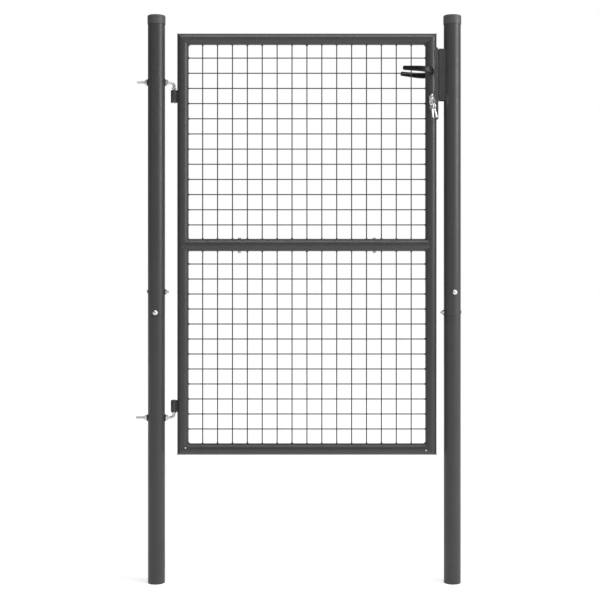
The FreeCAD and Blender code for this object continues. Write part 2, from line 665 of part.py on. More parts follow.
case_outside = block("case_outside", (CASE_LEFT, f"case_sheet - {CASE_HALF}", "case_low"),
                     (f"{CASE_RIGHT} - {CASE_LEFT}", "case_width - case_sheet",
                      "case_high - case_low"))
case_inside = block("case_inside",
                    (f"{CASE_LEFT} + case_sheet", f"-{CASE_HALF}", "case_low + case_sheet"),
                    (f"{CASE_RIGHT} - {CASE_LEFT} - 2 * case_sheet", "case_width - case_sheet",
                     "case_high - case_low - 2 * case_sheet"))
case_tools = [
    case_inside,
    cylinder("case_hub_hole", "journal_radius + journal_gap", THROUGH,
             (LOCK_STILE_X, 0, "handle_height"), "Y"),
    profile_cutter("case_cylinder_hole", 0, THROUGH, "cylinder_gap"),
    bolt_window("case_latch_hole", LATCH_Z, CASE_FRONT_WALL, CASE_RIGHT),
    bolt_window("case_dead_hole", DEAD_BOLT_Z, CASE_FRONT_WALL, CASE_RIGHT),
    cylinder("case_cylinder_screw", "cylinder_screw / 2", THROUGH,
             (CASE_FRONT_WALL, 0, CYLINDER_SCREW_Z), "X"),
]
for number, z in enumerate(SCREW_HEIGHTS):
    case_tools.append(cylinder(f"case_screw_hole_{number}", "case_screw / 2", THROUGH,
                               (SCREW_START, 0, z), "X"))
node(cut("lock_case", case_outside, *case_tools), "lock_case")

cover_blank = block("cover_blank", (CASE_LEFT, f"-{CASE_HALF}", "case_low"),
                    (f"{CASE_RIGHT} - {CASE_LEFT}", "case_sheet", "case_high - case_low"))
node(cut("lock_cover", cover_blank,
         cylinder("cover_hub_hole", "journal_radius + journal_gap", THROUGH,
                  (LOCK_STILE_X, -THROUGH, "handle_height"), "Y"),
         profile_cutter("cover_cylinder_hole", -THROUGH, THROUGH, "cylinder_gap")),
     "lock_cover")


def face_screw(name, z, shank, length):
    """A screw along X whose flat head lies flush in the face of the housing."""
    start = f"{LOCK_FACE_X} - {length}"
    bar = cylinder(f"{name}_shank", f"{shank} / 2", length, (start, 0, z), "X")
    head = cylinder(f"{name}_head", "case_screw_head / 2", "housing_sheet / 2",
                    (SCREW_HEAD_START, 0, z), "X")
    return fuse(name, bar, head)


node(group("lock_screws", [face_screw(f"lock_screw_{number}", z, "case_screw",
                                      "case_screw_length")
                           for number, z in enumerate(SCREW_HEIGHTS)]), "lock_screws")
node(face_screw("cylinder_screw_bar", CYLINDER_SCREW_Z, "cylinder_screw",
                "cylinder_screw_length"), "cylinder_screw")


# ---------------------------------------------------------------- handle

def bush(name, side):
    """A guide bush in one wall of the stile, with a flange that fits the round tube."""
    low = {-1: "-bush_face", 1: "bush_inner"}[side]
    length = "(bush_face - bush_inner)"
    start = (LOCK_STILE_X, low, "handle_height")
    collar = cylinder(f"{name}_collar", "bush_radius", length, start, "Y")
    disc = cylinder(f"{name}_disc", "bush_flange", length, start, "Y")
    tube = cylinder(f"{name}_tube", TUBE_RADIUS, THROUGH,
                    (LOCK_STILE_X, 0, f"handle_height - {HALF_THROUGH}"))
    flange = cut(f"{name}_flange", disc, tube)
    bore = cylinder(f"{name}_bore", "journal_radius + journal_gap", length, start, "Y")
    return node(cut(name, fuse(f"{name}_blank", collar, flange), bore), name)


bush("front_bush", -1)
bush("rear_bush", 1)


def lever_plan(sketch, side):
    """The lever from above: a neck, a bend and a grip that leans back towards the gate."""
    half = "(lever_thick / 2)"
    bend_end = f"-lever_bend - (lever_bend + {half}) * sin(lever_lean * 1 deg)"
    half_thick = value(half)
    lean = math.radians(value("lever_lean"))
    radius = value("lever_bend")
    reach = value("lever_reach")
    neck_foot = side * value("bush_face")
    centre = Vector(-radius, side * value("lever_out - lever_bend"), 0)
    outward = Vector(-math.sin(lean), side * math.cos(lean), 0)
    along = Vector(-math.cos(lean), -side * math.sin(lean), 0)
    run = (reach - radius - (radius + half_thick) * math.sin(lean)) / math.cos(lean)
    outer_end = centre + outward * (radius + half_thick)
    inner_end = centre + outward * (radius - half_thick)
    outer_start = centre + Vector(radius + half_thick, 0, 0)
    inner_start = centre + Vector(radius - half_thick, 0, 0)
    neck_right = Vector(half_thick, neck_foot, 0)
    neck_left = Vector(-half_thick, neck_foot, 0)
    quarter = math.pi / 2 + lean
    angles = (0, quarter) if side > 0 else (-quarter, 0)
    upward = Vector(0, 0, 1)
    neck_side, outer_arc, outer_grip, tip, inner_grip, inner_arc, inner_neck, foot = range(8)
    edges = [
        Part.LineSegment(neck_right, outer_start),
        Part.ArcOfCircle(Part.Circle(centre, upward, radius + half_thick), *angles),
        Part.LineSegment(outer_end, outer_end + along * run),
        Part.LineSegment(outer_end + along * run, inner_end + along * run),
        Part.LineSegment(inner_end + along * run, inner_end),
        Part.ArcOfCircle(Part.Circle(centre, upward, radius - half_thick), *angles),
        Part.LineSegment(inner_start, neck_left),
        Part.LineSegment(neck_left, neck_right),
    ]
    for edge in edges:
        sketch.addGeometry(edge, False)
    at_neck, at_grip = (1, 2) if side > 0 else (2, 1)
    for ends in ((neck_side, 2, outer_arc, at_neck), (outer_arc, at_grip, outer_grip, 1),
                 (inner_grip, 2, inner_arc, at_grip), (inner_arc, at_neck, inner_neck, 1)):
        sketch.addConstraint(Sketcher.Constraint("Tangent", *ends))
    for ends in ((outer_grip, 2, tip, 1), (tip, 2, inner_grip, 1), (inner_neck, 2, foot, 1),
                 (foot, 2, neck_side, 1), (outer_arc, 3, inner_arc, 3)):
        sketch.addConstraint(Sketcher.Constraint("Coincident", *ends))
    sketch.addConstraint(Sketcher.Constraint("Vertical", neck_side))
    sketch.addConstraint(Sketcher.Constraint("Vertical", inner_neck))
    sketch.addConstraint(Sketcher.Constraint("Horizontal", foot))
    sketch.addConstraint(Sketcher.Constraint("Parallel", outer_grip, inner_grip))
    sketch.addConstraint(Sketcher.Constraint("Perpendicular", outer_grip, tip))
    for kind, edge, end, text in (
            ("DistanceX", neck_side, 1, half),
            ("DistanceX", inner_neck, 2, f"-{half}"),
            ("DistanceY", neck_side, 1, f"{side} * bush_face"),
            ("DistanceX", outer_arc, 3, "-lever_bend"),
            ("DistanceY", outer_arc, 3, f"{side} * (lever_out - lever_bend)"),
            ("DistanceX", outer_grip, 1, bend_end),
            ("DistanceX", outer_grip, 2, "-lever_reach")):
        size = Sketcher.Constraint(kind, -1, 1, edge, end, value(text))
        number = sketch.addConstraint(size)
        sketch.setExpression(f"Constraints[{number}]", expression(text))


def lever(name, side):
    """One lever handle: a neck that bends along X into a grip, which rises and tapers to its tip."""
    body = doc.addObject("PartDesign::Body", f"{name}_grip")
    sketch = sketch_on(body, "XY_Plane", f"{name}_plan")
    lever_plan(sketch, side)
    pad = body.newObject("PartDesign::Pad", f"{name}_pad")
    pad.Profile = sketch
    pad.Midplane = True
    bind(pad, "Length", "lever_height")
    doc.recompute()
    rise = "(lever_height / 2)"
    past_tip = f"-lever_reach - {OVER}"
    below = f"-{rise} - {OVER}"
    taper = [("0", f"-{rise}"), (past_tip, f"{rise} - lever_tip_height"),
             (past_tip, below), ("0", below)]
    pocket_through(body, "XZ_Plane", taper, 2 * THROUGH)
    doc.recompute()
    neck_foot = value("bush_face")
    round_edge(body, lambda edge: abs(edge.BoundBox.YMin) > neck_foot + TOLERANCE
               and abs(edge.BoundBox.YMax) > neck_foot + TOLERANCE, "lever_round")
    place(body, LOCK_STILE_X, 0, "handle_height - lever_drop",
          turn=Rotation(Vector(0, 1, 0), value("lever_tilt")))

    low_y = {-1: "-bush_face", 1: "bush_inner - journal_overrun"}[side]
    journal = cylinder(f"{name}_journal", "journal_radius",
                       "bush_face - bush_inner + journal_overrun",
                       (LOCK_STILE_X, low_y, "handle_height"), "Y")
    socket_low = {-1: "-spindle_reach", 1: "0"}[side]
    socket = block(f"{name}_socket", (f"{LOCK_STILE_X} - spindle_side / 2", socket_low,
                                      "handle_height - spindle_side / 2"),
                   ("spindle_side", "spindle_reach", "spindle_side"))
    grub_hole = cylinder(f"{name}_grub_hole", "grub_screw / 2", THROUGH,
                         (LOCK_STILE_X, f"{side} * grub_out", f"handle_height - {THROUGH}"))
    return node(cut(name, fuse(f"{name}_blank", body, journal), socket, grub_hole), name)


lever("front_lever", -1)
lever("rear_lever", 1)
grub_screws = [cylinder(f"grub_screw_{word}", "grub_screw / 2", "grub_length",
                        (LOCK_STILE_X, f"{side} * grub_out",
                         "handle_height - spindle_side / 2 - grub_length"))
               for word, side in (("front", -1), ("rear", 1))]
node(group("lever_grub_screws", grub_screws), "lever_grub_screws")

node(block("spindle", (f"{LOCK_STILE_X} - spindle_side / 2", "-spindle_reach",
                       "handle_height - spindle_side / 2"),
           ("spindle_side", "2 * spindle_reach", "spindle_side")), "spindle")


def follower_arm(name, width, reach, angle):
    """A flat arm that stands out from the hub at an angle about its axis."""
    arm = block(name, (0, 0, 0), (width, "arm_thick", reach))
    return place(arm, f"{LOCK_STILE_X} - {width} / 2 * cos({angle})", "-arm_front",
                 f"handle_height + {width} / 2 * sin({angle})",
                 turn=Rotation(Vector(0, 1, 0), value(angle)))


hub = cylinder("hub_disc", "hub_radius", "hub_width",
               (LOCK_STILE_X, "-hub_width / 2", "handle_height"), "Y")
hub_journal = cylinder("hub_journal", "journal_radius", "case_width",
                       (LOCK_STILE_X, f"-{CASE_HALF}", "handle_height"), "Y")
latch_arm = follower_arm("latch_arm", "arm_width", "arm_reach", "arm_lean * 1 deg")
spring_arm = follower_arm("spring_arm", "tail_arm_width", "tail_arm_reach", "180 deg")
hub_square = block("hub_square", (f"{LOCK_STILE_X} - spindle_side / 2", -HALF_THROUGH,
                                  "handle_height - spindle_side / 2"),
                   ("spindle_side", THROUGH, "spindle_side"))
node(cut("follower", fuse("follower_blank", hub, hub_journal, latch_arm, spring_arm),
         hub_square), "follower")


def coil_spring(name, x_low, x_high, wire_size, turns, y, z):
    """A compression spring that lies along X between two faces."""
    wire = value(wire_size)
    radius = value("spring_radius")
    end_gap = value("spring_end_gap")
    length = value(x_high) - value(x_low) - wire - 2 * end_gap
    helix = Part.makeHelix(length / value(turns), length, radius)
    section = Part.Wire(Part.makeCircle(wire / 2, Vector(radius, 0, 0), Vector(0, 1, 0)))
    spring = doc.addObject("Part::Feature", name)
    spring.Shape = Part.Wire(helix.Edges).makePipeShell([section], True, True)
    start = Vector(value(x_low) + wire / 2 + end_gap, value(y), value(z))
    spring.Placement = FreeCAD.Placement(start, ALONG["X"])
    return node(spring, name)


# ---------------------------------------------------------------- latch bolt and dead bolt

LATCH_TIP = f"({LOCK_FACE_X} + latch_out)"
LATCH_BACK = f"({LATCH_TIP} - latch_length)"
latch_head = block("latch_head", (LATCH_BACK, "-bolt_thick / 2", f"{LATCH_Z} - bolt_tall / 2"),
                   ("latch_length", "bolt_thick", "bolt_tall"))
bevel_tool = block("latch_bevel_tool", (0, 0, 0),
                   (THROUGH, THROUGH, f"bolt_tall + {2 * OVER}"))
bevel = place(bevel_tool, f"{LATCH_TIP} - latch_bevel", "bolt_thick / 2",
              f"{LATCH_Z} - bolt_tall / 2 - {OVER}", turn=Rotation(Vector(0, 0, 1), -45))
PEG_X = f"({LOCK_STILE_X} + latch_peg_x)"
PEG_Z = "(handle_height + latch_peg_rise)"
PLATE_LEFT = f"({PEG_X} - latch_peg / 2)"
latch_plate = block("latch_plate", (PLATE_LEFT, "tail_plate_y", f"{PEG_Z} - latch_peg / 2"),
                    (f"{LATCH_BACK} + plate_lap - {PLATE_LEFT}", "tail_plate",
                     f"{LATCH_Z} + bolt_tall / 2 - ({PEG_Z} - latch_peg / 2)"))
latch_peg = cylinder("latch_peg_bar", "latch_peg / 2", "arm_front + tail_plate_y",
                     (PEG_X, "-arm_front", PEG_Z), "Y")
node(fuse("latch_bolt", cut("latch_nose", latch_head, bevel), latch_plate, latch_peg),
     "latch_bolt")

DEAD_TIP = f"({LOCK_FACE_X} - dead_bolt_set_back)"
DEAD_BACK = f"({DEAD_TIP} - dead_bolt_length)"
dead_head = block("dead_head", (DEAD_BACK, "-bolt_thick / 2", f"{DEAD_BOLT_Z} - bolt_tall / 2"),
                  ("dead_bolt_length", "bolt_thick", "bolt_tall"))
DEAD_PLATE_LEFT = f"({DEAD_BACK} - dead_bolt_tail)"
dead_plate = block("dead_plate", (DEAD_PLATE_LEFT, "tail_plate_y",
                                  f"{DEAD_BOLT_Z} - bolt_tall / 2 - dead_bolt_talon"),
                   (f"{DEAD_BACK} + plate_lap - {DEAD_PLATE_LEFT}", "tail_plate",
                    "bolt_tall + dead_bolt_talon"))
talon = block("talon_notch", (f"{DEAD_PLATE_LEFT} + talon_inset", -HALF_THROUGH,
                              f"{DEAD_BOLT_Z} - bolt_tall / 2 - dead_bolt_talon - {OVER}"),
              ("talon_width", THROUGH, f"talon_depth + {OVER}"))
node(cut("dead_bolt", fuse("dead_blank", dead_head, dead_plate), talon), "dead_bolt")

coil_spring("latch_spring", f"{CASE_LEFT} + case_sheet", LATCH_BACK, "latch_spring_wire",
            "latch_spring_turns", "-latch_spring_front", f"{LATCH_Z} + latch_spring_up")
coil_spring("return_spring", f"{LOCK_STILE_X} + tail_arm_width / 2",
            f"{CASE_RIGHT} - case_sheet", "return_spring_wire", "return_spring_turns",
            "-return_spring_front", "handle_height - return_spring_down")


# ---------------------------------------------------------------- lock cylinder and keys

barrel = profile_cutter("cylinder_blank", "-cylinder_reach", "2 * cylinder_reach", "0")
plug_bore = cylinder("plug_bore", "plug_radius + pin_gap", "2 * cylinder_reach",
                     (LOCK_STILE_X, "-cylinder_reach", CYLINDER_Z), "Y")
cam_space = block("cam_space", (f"{LOCK_STILE_X} - {HALF_THROUGH}", "-cam_slot / 2",
                                f"{CYLINDER_Z} - cam_clear"),
                  (THROUGH, "cam_slot", THROUGH))
barrel_screw_hole = cylinder("barrel_screw_hole", "cylinder_screw / 2", THROUGH,
                             (f"{LOCK_STILE_X} - {HALF_THROUGH}", 0, CYLINDER_SCREW_Z), "X")
node(cut("cylinder_body", barrel, plug_bore, cam_space, barrel_screw_hole), "cylinder_body")


def plug(name, side):
    """One half of the cylinder's core, with the keyway open at its outer end."""
    length = "(cylinder_reach - plug_end)"
    low = {-1: "-cylinder_reach", 1: "plug_end"}[side]
    core = cylinder(f"{name}_core", "plug_radius", length, (LOCK_STILE_X, low, CYLINDER_Z), "Y")
    slot_low = {-1: "-cylinder_reach", 1: "cylinder_reach - keyway_depth"}[side]
    keyway = block(f"{name}_keyway", (f"{LOCK_STILE_X} - keyway_width / 2", slot_low,
                                      f"{CYLINDER_Z} - keyway_height / 2"),
                   ("keyway_width", "keyway_depth", "keyway_height"))
    return node(cut(name, core, keyway), name)


plug("front_plug", -1)
plug("rear_plug", 1)

cam_disc = cylinder("cam_disc", "cam_hub", "cam_width",
                    (LOCK_STILE_X, "-cam_width / 2", CYLINDER_Z), "Y")
cam_nose = block("cam_nose_bar", (f"{LOCK_STILE_X} - cam_nose_width / 2", "-cam_width / 2",
                                  f"{CYLINDER_Z} - cam_nose"),
                 ("cam_nose_width", "cam_width", "cam_nose"))
node(fuse("cylinder_cam", cam_disc, cam_nose), "cylinder_cam")


KEY_BITS = 5


def key(name):
    """A flat key: its bow centred on the origin, its blade along +Y, its thickness along X."""
    bow = cylinder(f"{name}_bow", "key_bow", "key_thick", ("-key_thick / 2", 0, 0), "X")
    blade = block(f"{name}_blade", ("-key_thick / 2", 0, "-key_blade_width / 2"),
                  ("key_thick", "key_blade", "key_blade_width"))
    ends = [cylinder(f"{name}_slot_{word}", "key_slot_radius", THROUGH,
                     (-HALF_THROUGH, "-key_slot_offset",
                      f"{sign} (key_slot_half - key_slot_radius)"), "X")
            for word, sign in (("low", "-"), ("high", ""))]
    middle = block(f"{name}_slot_middle",
                   (-HALF_THROUGH, "-key_slot_offset - key_slot_radius",
                    "-key_slot_half + key_slot_radius"),
                   (THROUGH, "2 * key_slot_radius", "2 * (key_slot_half - key_slot_radius)"))
    bits = [block(f"{name}_bit_{number}",
                  ("-key_thick", f"key_blade - bit_first - {number} * bit_pitch",
                   "key_blade_width / 2 - bit_depth"),
                  ("2 * key_thick", f"bit_width + {number} * bit_widening", "2 * bit_depth"))
            for number in range(KEY_BITS)]
    return cut(name, fuse(f"{name}_blank", bow, blade), *ends, middle, *bits)


lock_key = key("lock_key")
node(place(lock_key, LOCK_STILE_X, "-key_out", CYLINDER_Z), "lock_key")

RING_Y = "(-key_out - key_slot_offset)"
RING_Z = f"({CYLINDER_Z} - key_slot_half + ring_wire / 2 + ring_gap - ring_radius)"
key_ring = doc.addObject("Part::Torus", "key_ring")
bind(key_ring, "Radius1", "ring_radius")
bind(key_ring, "Radius2", "ring_wire / 2")
node(place(key_ring, LOCK_STILE_X, RING_Y, RING_Z, turn=ALONG["Y"]), "key_ring")


def spare_key(name, offset, lean):
    """A key that hangs on the ring by the wide side of its slot."""
    hanging = key(name)
    wire_drop = f"sqrt(ring_radius ^ 2 - ({offset}) ^ 2)"
    slot_drop = "(key_slot_radius - ring_wire / 2 - spare_key_gap)"
    turn = (Rotation(Vector(0, 1, 0), -lean)
            * Rotation(Vector(0, 0, 1), value("spare_key_yaw"))
            * Rotation(Vector(1, 0, 0), -90))
    hang = turn.multVec(Vector(0, value("key_slot_offset"), 0))
    drop = value(slot_drop)
    wire = Vector(value(LOCK_STILE_X) + offset, value(RING_Y),
                  value(f"{RING_Z} - {wire_drop}"))
    down = turn.multVec(Vector(0, 1, 0)) * drop
    centre = wire + down + hang
    hanging.Placement = FreeCAD.Placement(centre, turn)
    return hanging


# Each spare key: its name, where it hangs on the ring across X, and its lean in degrees.
SPARE_KEYS = (("spare_key_left", -2.2, 5), ("spare_key_right", 2.6, 15))
node(group("spare_keys", [spare_key(*details) for details in SPARE_KEYS]), "spare_keys")


# ---------------------------------------------------------------- keeper on the latch post

KEEPER_HALF = "(keeper_width / 2)"
KEEPER_TALL = "(keeper_high - keeper_low)"
strike = block("strike_plate", (KEEPER_X, f"-{KEEPER_HALF}", "keeper_low"),
               ("keeper_sheet", "keeper_width", KEEPER_TALL))
KEEPER_RUN = f"(post_spacing - {KEEPER_X})"
front_web = block("keeper_front_web", (KEEPER_X, f"-{KEEPER_HALF}", "keeper_low"),
                  (KEEPER_RUN, "keeper_sheet", KEEPER_TALL))
rear_web = block("keeper_rear_web", (KEEPER_X, f"{KEEPER_HALF} - keeper_sheet", "keeper_low"),
                 (KEEPER_RUN, "keeper_sheet", KEEPER_TALL))
stop = block("keeper_stop", (f"{KEEPER_X} - stop_reach", KEEPER_HALF, "keeper_low"),
             (f"{KEEPER_RUN} + stop_reach", "keeper_sheet", KEEPER_TALL))
keeper_tools = [cylinder("keeper_post", "post_diameter / 2", "gate_height", ("post_spacing", 0, 0))]
for word, z in (("latch", LATCH_Z), ("dead_bolt", DEAD_BOLT_Z)):
    keeper_tools.append(block(f"keeper_{word}_hole",
                              (f"{KEEPER_X} - {OVER}", "-keeper_hole_width / 2",
                               f"{z} - keeper_hole / 2"),
                              (f"keeper_sheet + {2 * OVER}", "keeper_hole_width",
                               "keeper_hole")))
node(cut("strike_keeper", fuse("keeper_blank", strike, front_web, rear_web, stop),
         *keeper_tools), "strike_keeper")


# ---------------------------------------------------------------- check and write

doc.recompute()
for thing in doc.Objects:
    if "Invalid" in thing.State or "Error" in thing.State:
        raise RuntimeError(f"{thing.Name} failed: {thing.State}")
os.makedirs("parts", exist_ok=True)
for piece in NODES:
    if piece.Shape.isNull() or not piece.Shape.isValid():
        raise RuntimeError(f"{piece.Label} has no valid shape")
    piece.Shape.exportStep(f"parts/{piece.Label}.step")
    solids = len(piece.Shape.Solids)
    print(f"{piece.Label:28s} solids {solids:3d}  volume {piece.Shape.Volume:12.1f}")
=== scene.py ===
"""Garden gate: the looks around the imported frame. Metres, in the frame of the CAD model."""
import json
import math
import random

import bmesh
import bpy
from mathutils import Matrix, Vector, noise


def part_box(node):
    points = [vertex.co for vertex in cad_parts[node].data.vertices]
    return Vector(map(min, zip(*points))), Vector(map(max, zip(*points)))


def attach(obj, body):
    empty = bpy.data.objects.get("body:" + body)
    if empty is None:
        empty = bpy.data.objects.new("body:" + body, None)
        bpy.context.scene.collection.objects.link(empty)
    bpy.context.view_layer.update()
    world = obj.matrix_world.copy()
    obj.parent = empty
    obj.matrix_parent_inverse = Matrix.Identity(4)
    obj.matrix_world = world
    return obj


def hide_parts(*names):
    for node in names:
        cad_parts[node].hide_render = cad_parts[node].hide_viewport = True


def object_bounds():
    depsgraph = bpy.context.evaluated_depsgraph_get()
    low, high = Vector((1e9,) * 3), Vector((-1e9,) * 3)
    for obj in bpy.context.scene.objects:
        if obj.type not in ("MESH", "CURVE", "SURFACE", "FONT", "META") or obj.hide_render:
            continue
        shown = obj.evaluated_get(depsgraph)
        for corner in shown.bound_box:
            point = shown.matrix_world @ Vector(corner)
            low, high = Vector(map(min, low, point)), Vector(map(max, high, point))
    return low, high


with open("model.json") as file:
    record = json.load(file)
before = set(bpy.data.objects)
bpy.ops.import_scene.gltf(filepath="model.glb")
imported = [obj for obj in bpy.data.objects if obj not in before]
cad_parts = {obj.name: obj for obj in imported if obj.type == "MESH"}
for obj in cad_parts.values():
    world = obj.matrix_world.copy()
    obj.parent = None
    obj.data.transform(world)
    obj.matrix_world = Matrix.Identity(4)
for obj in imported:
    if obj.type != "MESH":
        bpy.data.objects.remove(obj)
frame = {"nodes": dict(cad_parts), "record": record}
CAD_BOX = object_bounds()
MM = 0.001


# ---------------------------------------------------------------- materials

class Nodes:
    """Makes the nodes of one material and joins them."""

    def __init__(self, name):
        self.material = bpy.data.materials.new(name)
        self.material.use_nodes = True
        self.tree = self.material.node_tree
        self.shader = self.tree.nodes["Principled BSDF"]
        self.place = self.make("ShaderNodeTexCoord").outputs["Object"]

    def make(self, kind, **settings):
        made = self.tree.nodes.new(kind)
        for key, setting in settings.items():
            setattr(made, key, setting)
        return made

    def join(self, source, target):
        self.tree.links.new(source, target)

    def noise(self, size, detail=3.0, roughness=0.55, stretch=(1, 1, 1)):
        """Noise whose grains are about the given size in metres."""
        scaled = self.make("ShaderNodeMapping")
        scaled.inputs["Scale"].default_value = stretch
        self.join(self.place, scaled.inputs["Vector"])
        made = self.make("ShaderNodeTexNoise")
        made.inputs["Scale"].default_value = 1 / size
        made.inputs["Detail"].default_value = detail
        made.inputs["Roughness"].default_value = roughness
        self.join(scaled.outputs["Vector"], made.inputs["Vector"])
        return made.outputs["Fac"]

    def spread(self, source, low, high, start=0.3, end=0.7):
        """Maps a number from start..end to low..high."""
        made = self.make("ShaderNodeMapRange")
        for key, number in (("From Min", start), ("From Max", end), ("To Min", low), ("To Max", high)):
            made.inputs[key].default_value = number
        self.join(source, made.inputs["Value"])
        return made.outputs["Result"]

    def blend(self, source, first, second, start=0.3, end=0.7):
        """A colour between two, by a number from start to end."""
        made = self.make("ShaderNodeValToRGB")
        made.color_ramp.elements[0].position = start
        made.color_ramp.elements[1].position = end
        made.color_ramp.elements[0].color = (*first, 1)
        made.color_ramp.elements[1].color = (*second, 1)
        self.join(source, made.inputs["Fac"])
        return made.outputs["Color"]

    def bump(self, source, height, below=None):
        """Bump of the given height in metres, on top of another bump."""
        made = self.make("ShaderNodeBump")
        made.inputs["Strength"].default_value = 1
        made.inputs["Distance"].default_value = height
        self.join(source, made.inputs["Height"])
        if below is not None:
            self.join(below, made.inputs["Normal"])
        return made.outputs["Normal"]


def grey(tone, tint=(1, 1, 1)):
    """A grey of the given tone, with a slight tint."""
    return tuple(tone * part for part in tint)


def powder_coat(name, tone, roughness, tint=(1, 1, 1), ior=1.5):
    """Stoved powder coat: an even colour, fine orange peel and slightly uneven gloss."""
    made = Nodes(name)
    cloud = made.noise(0.09, detail=2)
    colour = made.blend(cloud, grey(tone * 0.94, tint), grey(tone * 1.07, tint))
    made.join(colour, made.shader.inputs["Base Color"])
    made.shader.inputs["IOR"].default_value = ior
    gloss = made.noise(0.025, detail=4)
    made.join(made.spread(gloss, roughness - 0.04, roughness + 0.05), made.shader.inputs["Roughness"])
    peel = made.bump(made.noise(0.0022, detail=1.5), height=0.00006)
    grit = made.bump(made.noise(0.0006, detail=2), height=0.00001, below=peel)
    made.join(grit, made.shader.inputs["Normal"])
    return made.material


def plated(name, low, high, roughness, tint, grain, ripple=0.00002):
    """Plated metal: patches of the given grain in its tone, and fine streaks in its gloss."""
    made = Nodes(name)
    made.shader.inputs["Metallic"].default_value = 1.0
    patches = made.noise(grain, detail=3)
    made.join(made.blend(patches, grey(low, tint), grey(high, tint)), made.shader.inputs["Base Color"])
    streaks = made.noise(grain * 0.4, detail=4, stretch=(1, 1, 4))
    made.join(made.spread(streaks, roughness - 0.07, roughness + 0.1), made.shader.inputs["Roughness"])
    made.join(made.bump(streaks, ripple), made.shader.inputs["Normal"])
    return made.material


def moulded(name, tone, roughness, grain, height):
    """Moulded plastic with a fine spark-eroded grain."""
    made = Nodes(name)
    cloud = made.noise(0.03, detail=2)
    made.join(made.blend(cloud, grey(tone * 0.9), grey(tone * 1.1)), made.shader.inputs["Base Color"])
    gloss = made.noise(0.012, detail=3)
    made.join(made.spread(gloss, roughness - 0.05, roughness + 0.06), made.shader.inputs["Roughness"])
    made.join(made.bump(made.noise(grain, detail=2), height), made.shader.inputs["Normal"])
    return made.material


MATERIALS = {
    "anthracite_coat": powder_coat("anthracite_coat", 0.036, 0.40, (1.0, 1.0, 1.01)),
    # lock_face_coat is the anthracite coat, a little glossier and in a lighter tone. The lighter tone is a
    # painted highlight for the flat lock face catching more light; the paint itself is no paler.
    "lock_face_coat": powder_coat("lock_face_coat", 0.052, 0.36, (1.0, 1.0, 1.01)),
    "zinc_plate": plated("zinc_plate", 0.62, 0.74, 0.38, (1.0, 1.0, 1.02), 0.004),
    "black_coat": powder_coat("black_coat", 0.006, 0.34, ior=1.36),
    "cap_plastic": moulded("cap_plastic", 0.062, 0.48, 0.0012, 0.00004),
    "lock_steel": plated("lock_steel", 0.42, 0.55, 0.38, (1.0, 0.99, 0.97), 0.006),
    "nickel_plate": plated("nickel_plate", 0.84, 0.92, 0.30, (1.0, 0.99, 0.97), 0.02, 0.000005),
    "spring_steel": plated("spring_steel", 0.30, 0.40, 0.35, (1.0, 1.0, 1.0), 0.003),
    "black_nylon": moulded("black_nylon", 0.016, 0.5, 0.0010, 0.00003),
}


SLOT_OF = {row["node"]: row["material_slot"] for row in frame["record"]["subparts"]}
for name, thing in frame["nodes"].items():
    for slot in thing.material_slots:
        slot.material = MATERIALS[SLOT_OF[name]]


# ---------------------------------------------------------------- mesh tools

class Shape:
    """The points and faces of one piece, gathered part by part."""

    def __init__(self):
        self.points = []
        self.faces = []

    def loft(self, rings, closed=False):
        """Skins a row of rings with the same number of points, and closes both ends."""
        start = len(self.points)
        count = len(rings[0])
        for ring in rings:
            self.points.extend(ring)
        rows = len(rings) if closed else len(rings) - 1
        for row in range(rows):
            low = start + row * count
            high = start + (row + 1) % len(rings) * count
            for side in range(count):
                after = (side + 1) % count
                self.faces.append((low + side, low + after, high + after, high + side))
        if not closed:
            last = start + rows * count
            self.faces.append(tuple(reversed(range(start, start + count))))
            self.faces.append(tuple(range(last, last + count)))

    def sweep(self, path, radius, sides=12, closed=False):
        """A bar along a path; radius(index, angle) gives its half thickness."""
        rings = []
        up = None
        for index, point in enumerate(path):
            before = path[index - 1] if index or closed else point
            after = path[(index + 1) % len(path)] if index + 1 < len(path) or closed else point
            forward = (after - before).normalized()
            up = forward.orthogonal() if up is None else up - forward * up.dot(forward)
            up.normalize()
            across = forward.cross(up)
            ring = []
            for side in range(sides):
                angle = math.tau * side / sides
                arm = across * math.cos(angle) + up * math.sin(angle)
                ring.append(point + arm * radius(index, angle))
            rings.append(ring)
        self.loft(rings, closed)

    def blob(self, centre, size, seed):
        """A small uneven lump of melted metal."""
        start = len(self.points)
        for point in LUMP_POINTS:
            spot = point * LUMP_GRAIN + Vector((seed * 7.3, seed * 1.9, 0))
            swell = 1 + LUMP_SWELL * noise.noise(spot)
            self.points.append(centre + Vector(a * b for a, b in zip(point, size)) * swell)
        self.faces.extend(tuple(start + index for index in face) for face in LUMP_FACES)

    def piece(self, name, body, slot, *replaced, crease=35):
        """Makes the piece: it rides on a body, and stands for the CAD nodes it replaces."""
        mesh = bpy.data.meshes.new(name)
        mesh.from_pydata([tuple(point) for point in self.points], [], self.faces)
        solid = bmesh.new()
        solid.from_mesh(mesh)
        bmesh.ops.recalc_face_normals(solid, faces=solid.faces)
        solid.to_mesh(mesh)
        solid.free()
        mesh.shade_smooth()
        mesh.set_sharp_from_angle(angle=math.radians(crease))
        mesh.materials.append(MATERIALS[slot])
        thing = bpy.data.objects.new(name, mesh)
        bpy.context.scene.collection.objects.link(thing)
        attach(thing, body)
        if replaced:
            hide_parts(*replaced)
        return thing


def lump():
    """The points and faces of a ball of radius 1."""
    ball = bmesh.new()
    bmesh.ops.create_icosphere(ball, subdivisions=2, radius=1)
    points = [vertex.co.copy() for vertex in ball.verts]
    faces = [tuple(vertex.index for vertex in face.verts) for face in ball.faces]
    ball.free()
    return points, faces


LUMP_POINTS, LUMP_FACES = lump()
LUMP_GRAIN = 1.5
LUMP_SWELL = 0.25


def line(start, end, step):
    """Points from start to end, about a step apart."""
    count = max(2, round((end - start).length / step))
    return [start.lerp(end, index / count) for index in range(count + 1)]


def centre_of(node):
    """The middle of a CAD node's box."""
    low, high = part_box(node)
    return (low + high) / 2


# ---------------------------------------------------------------- weld beads

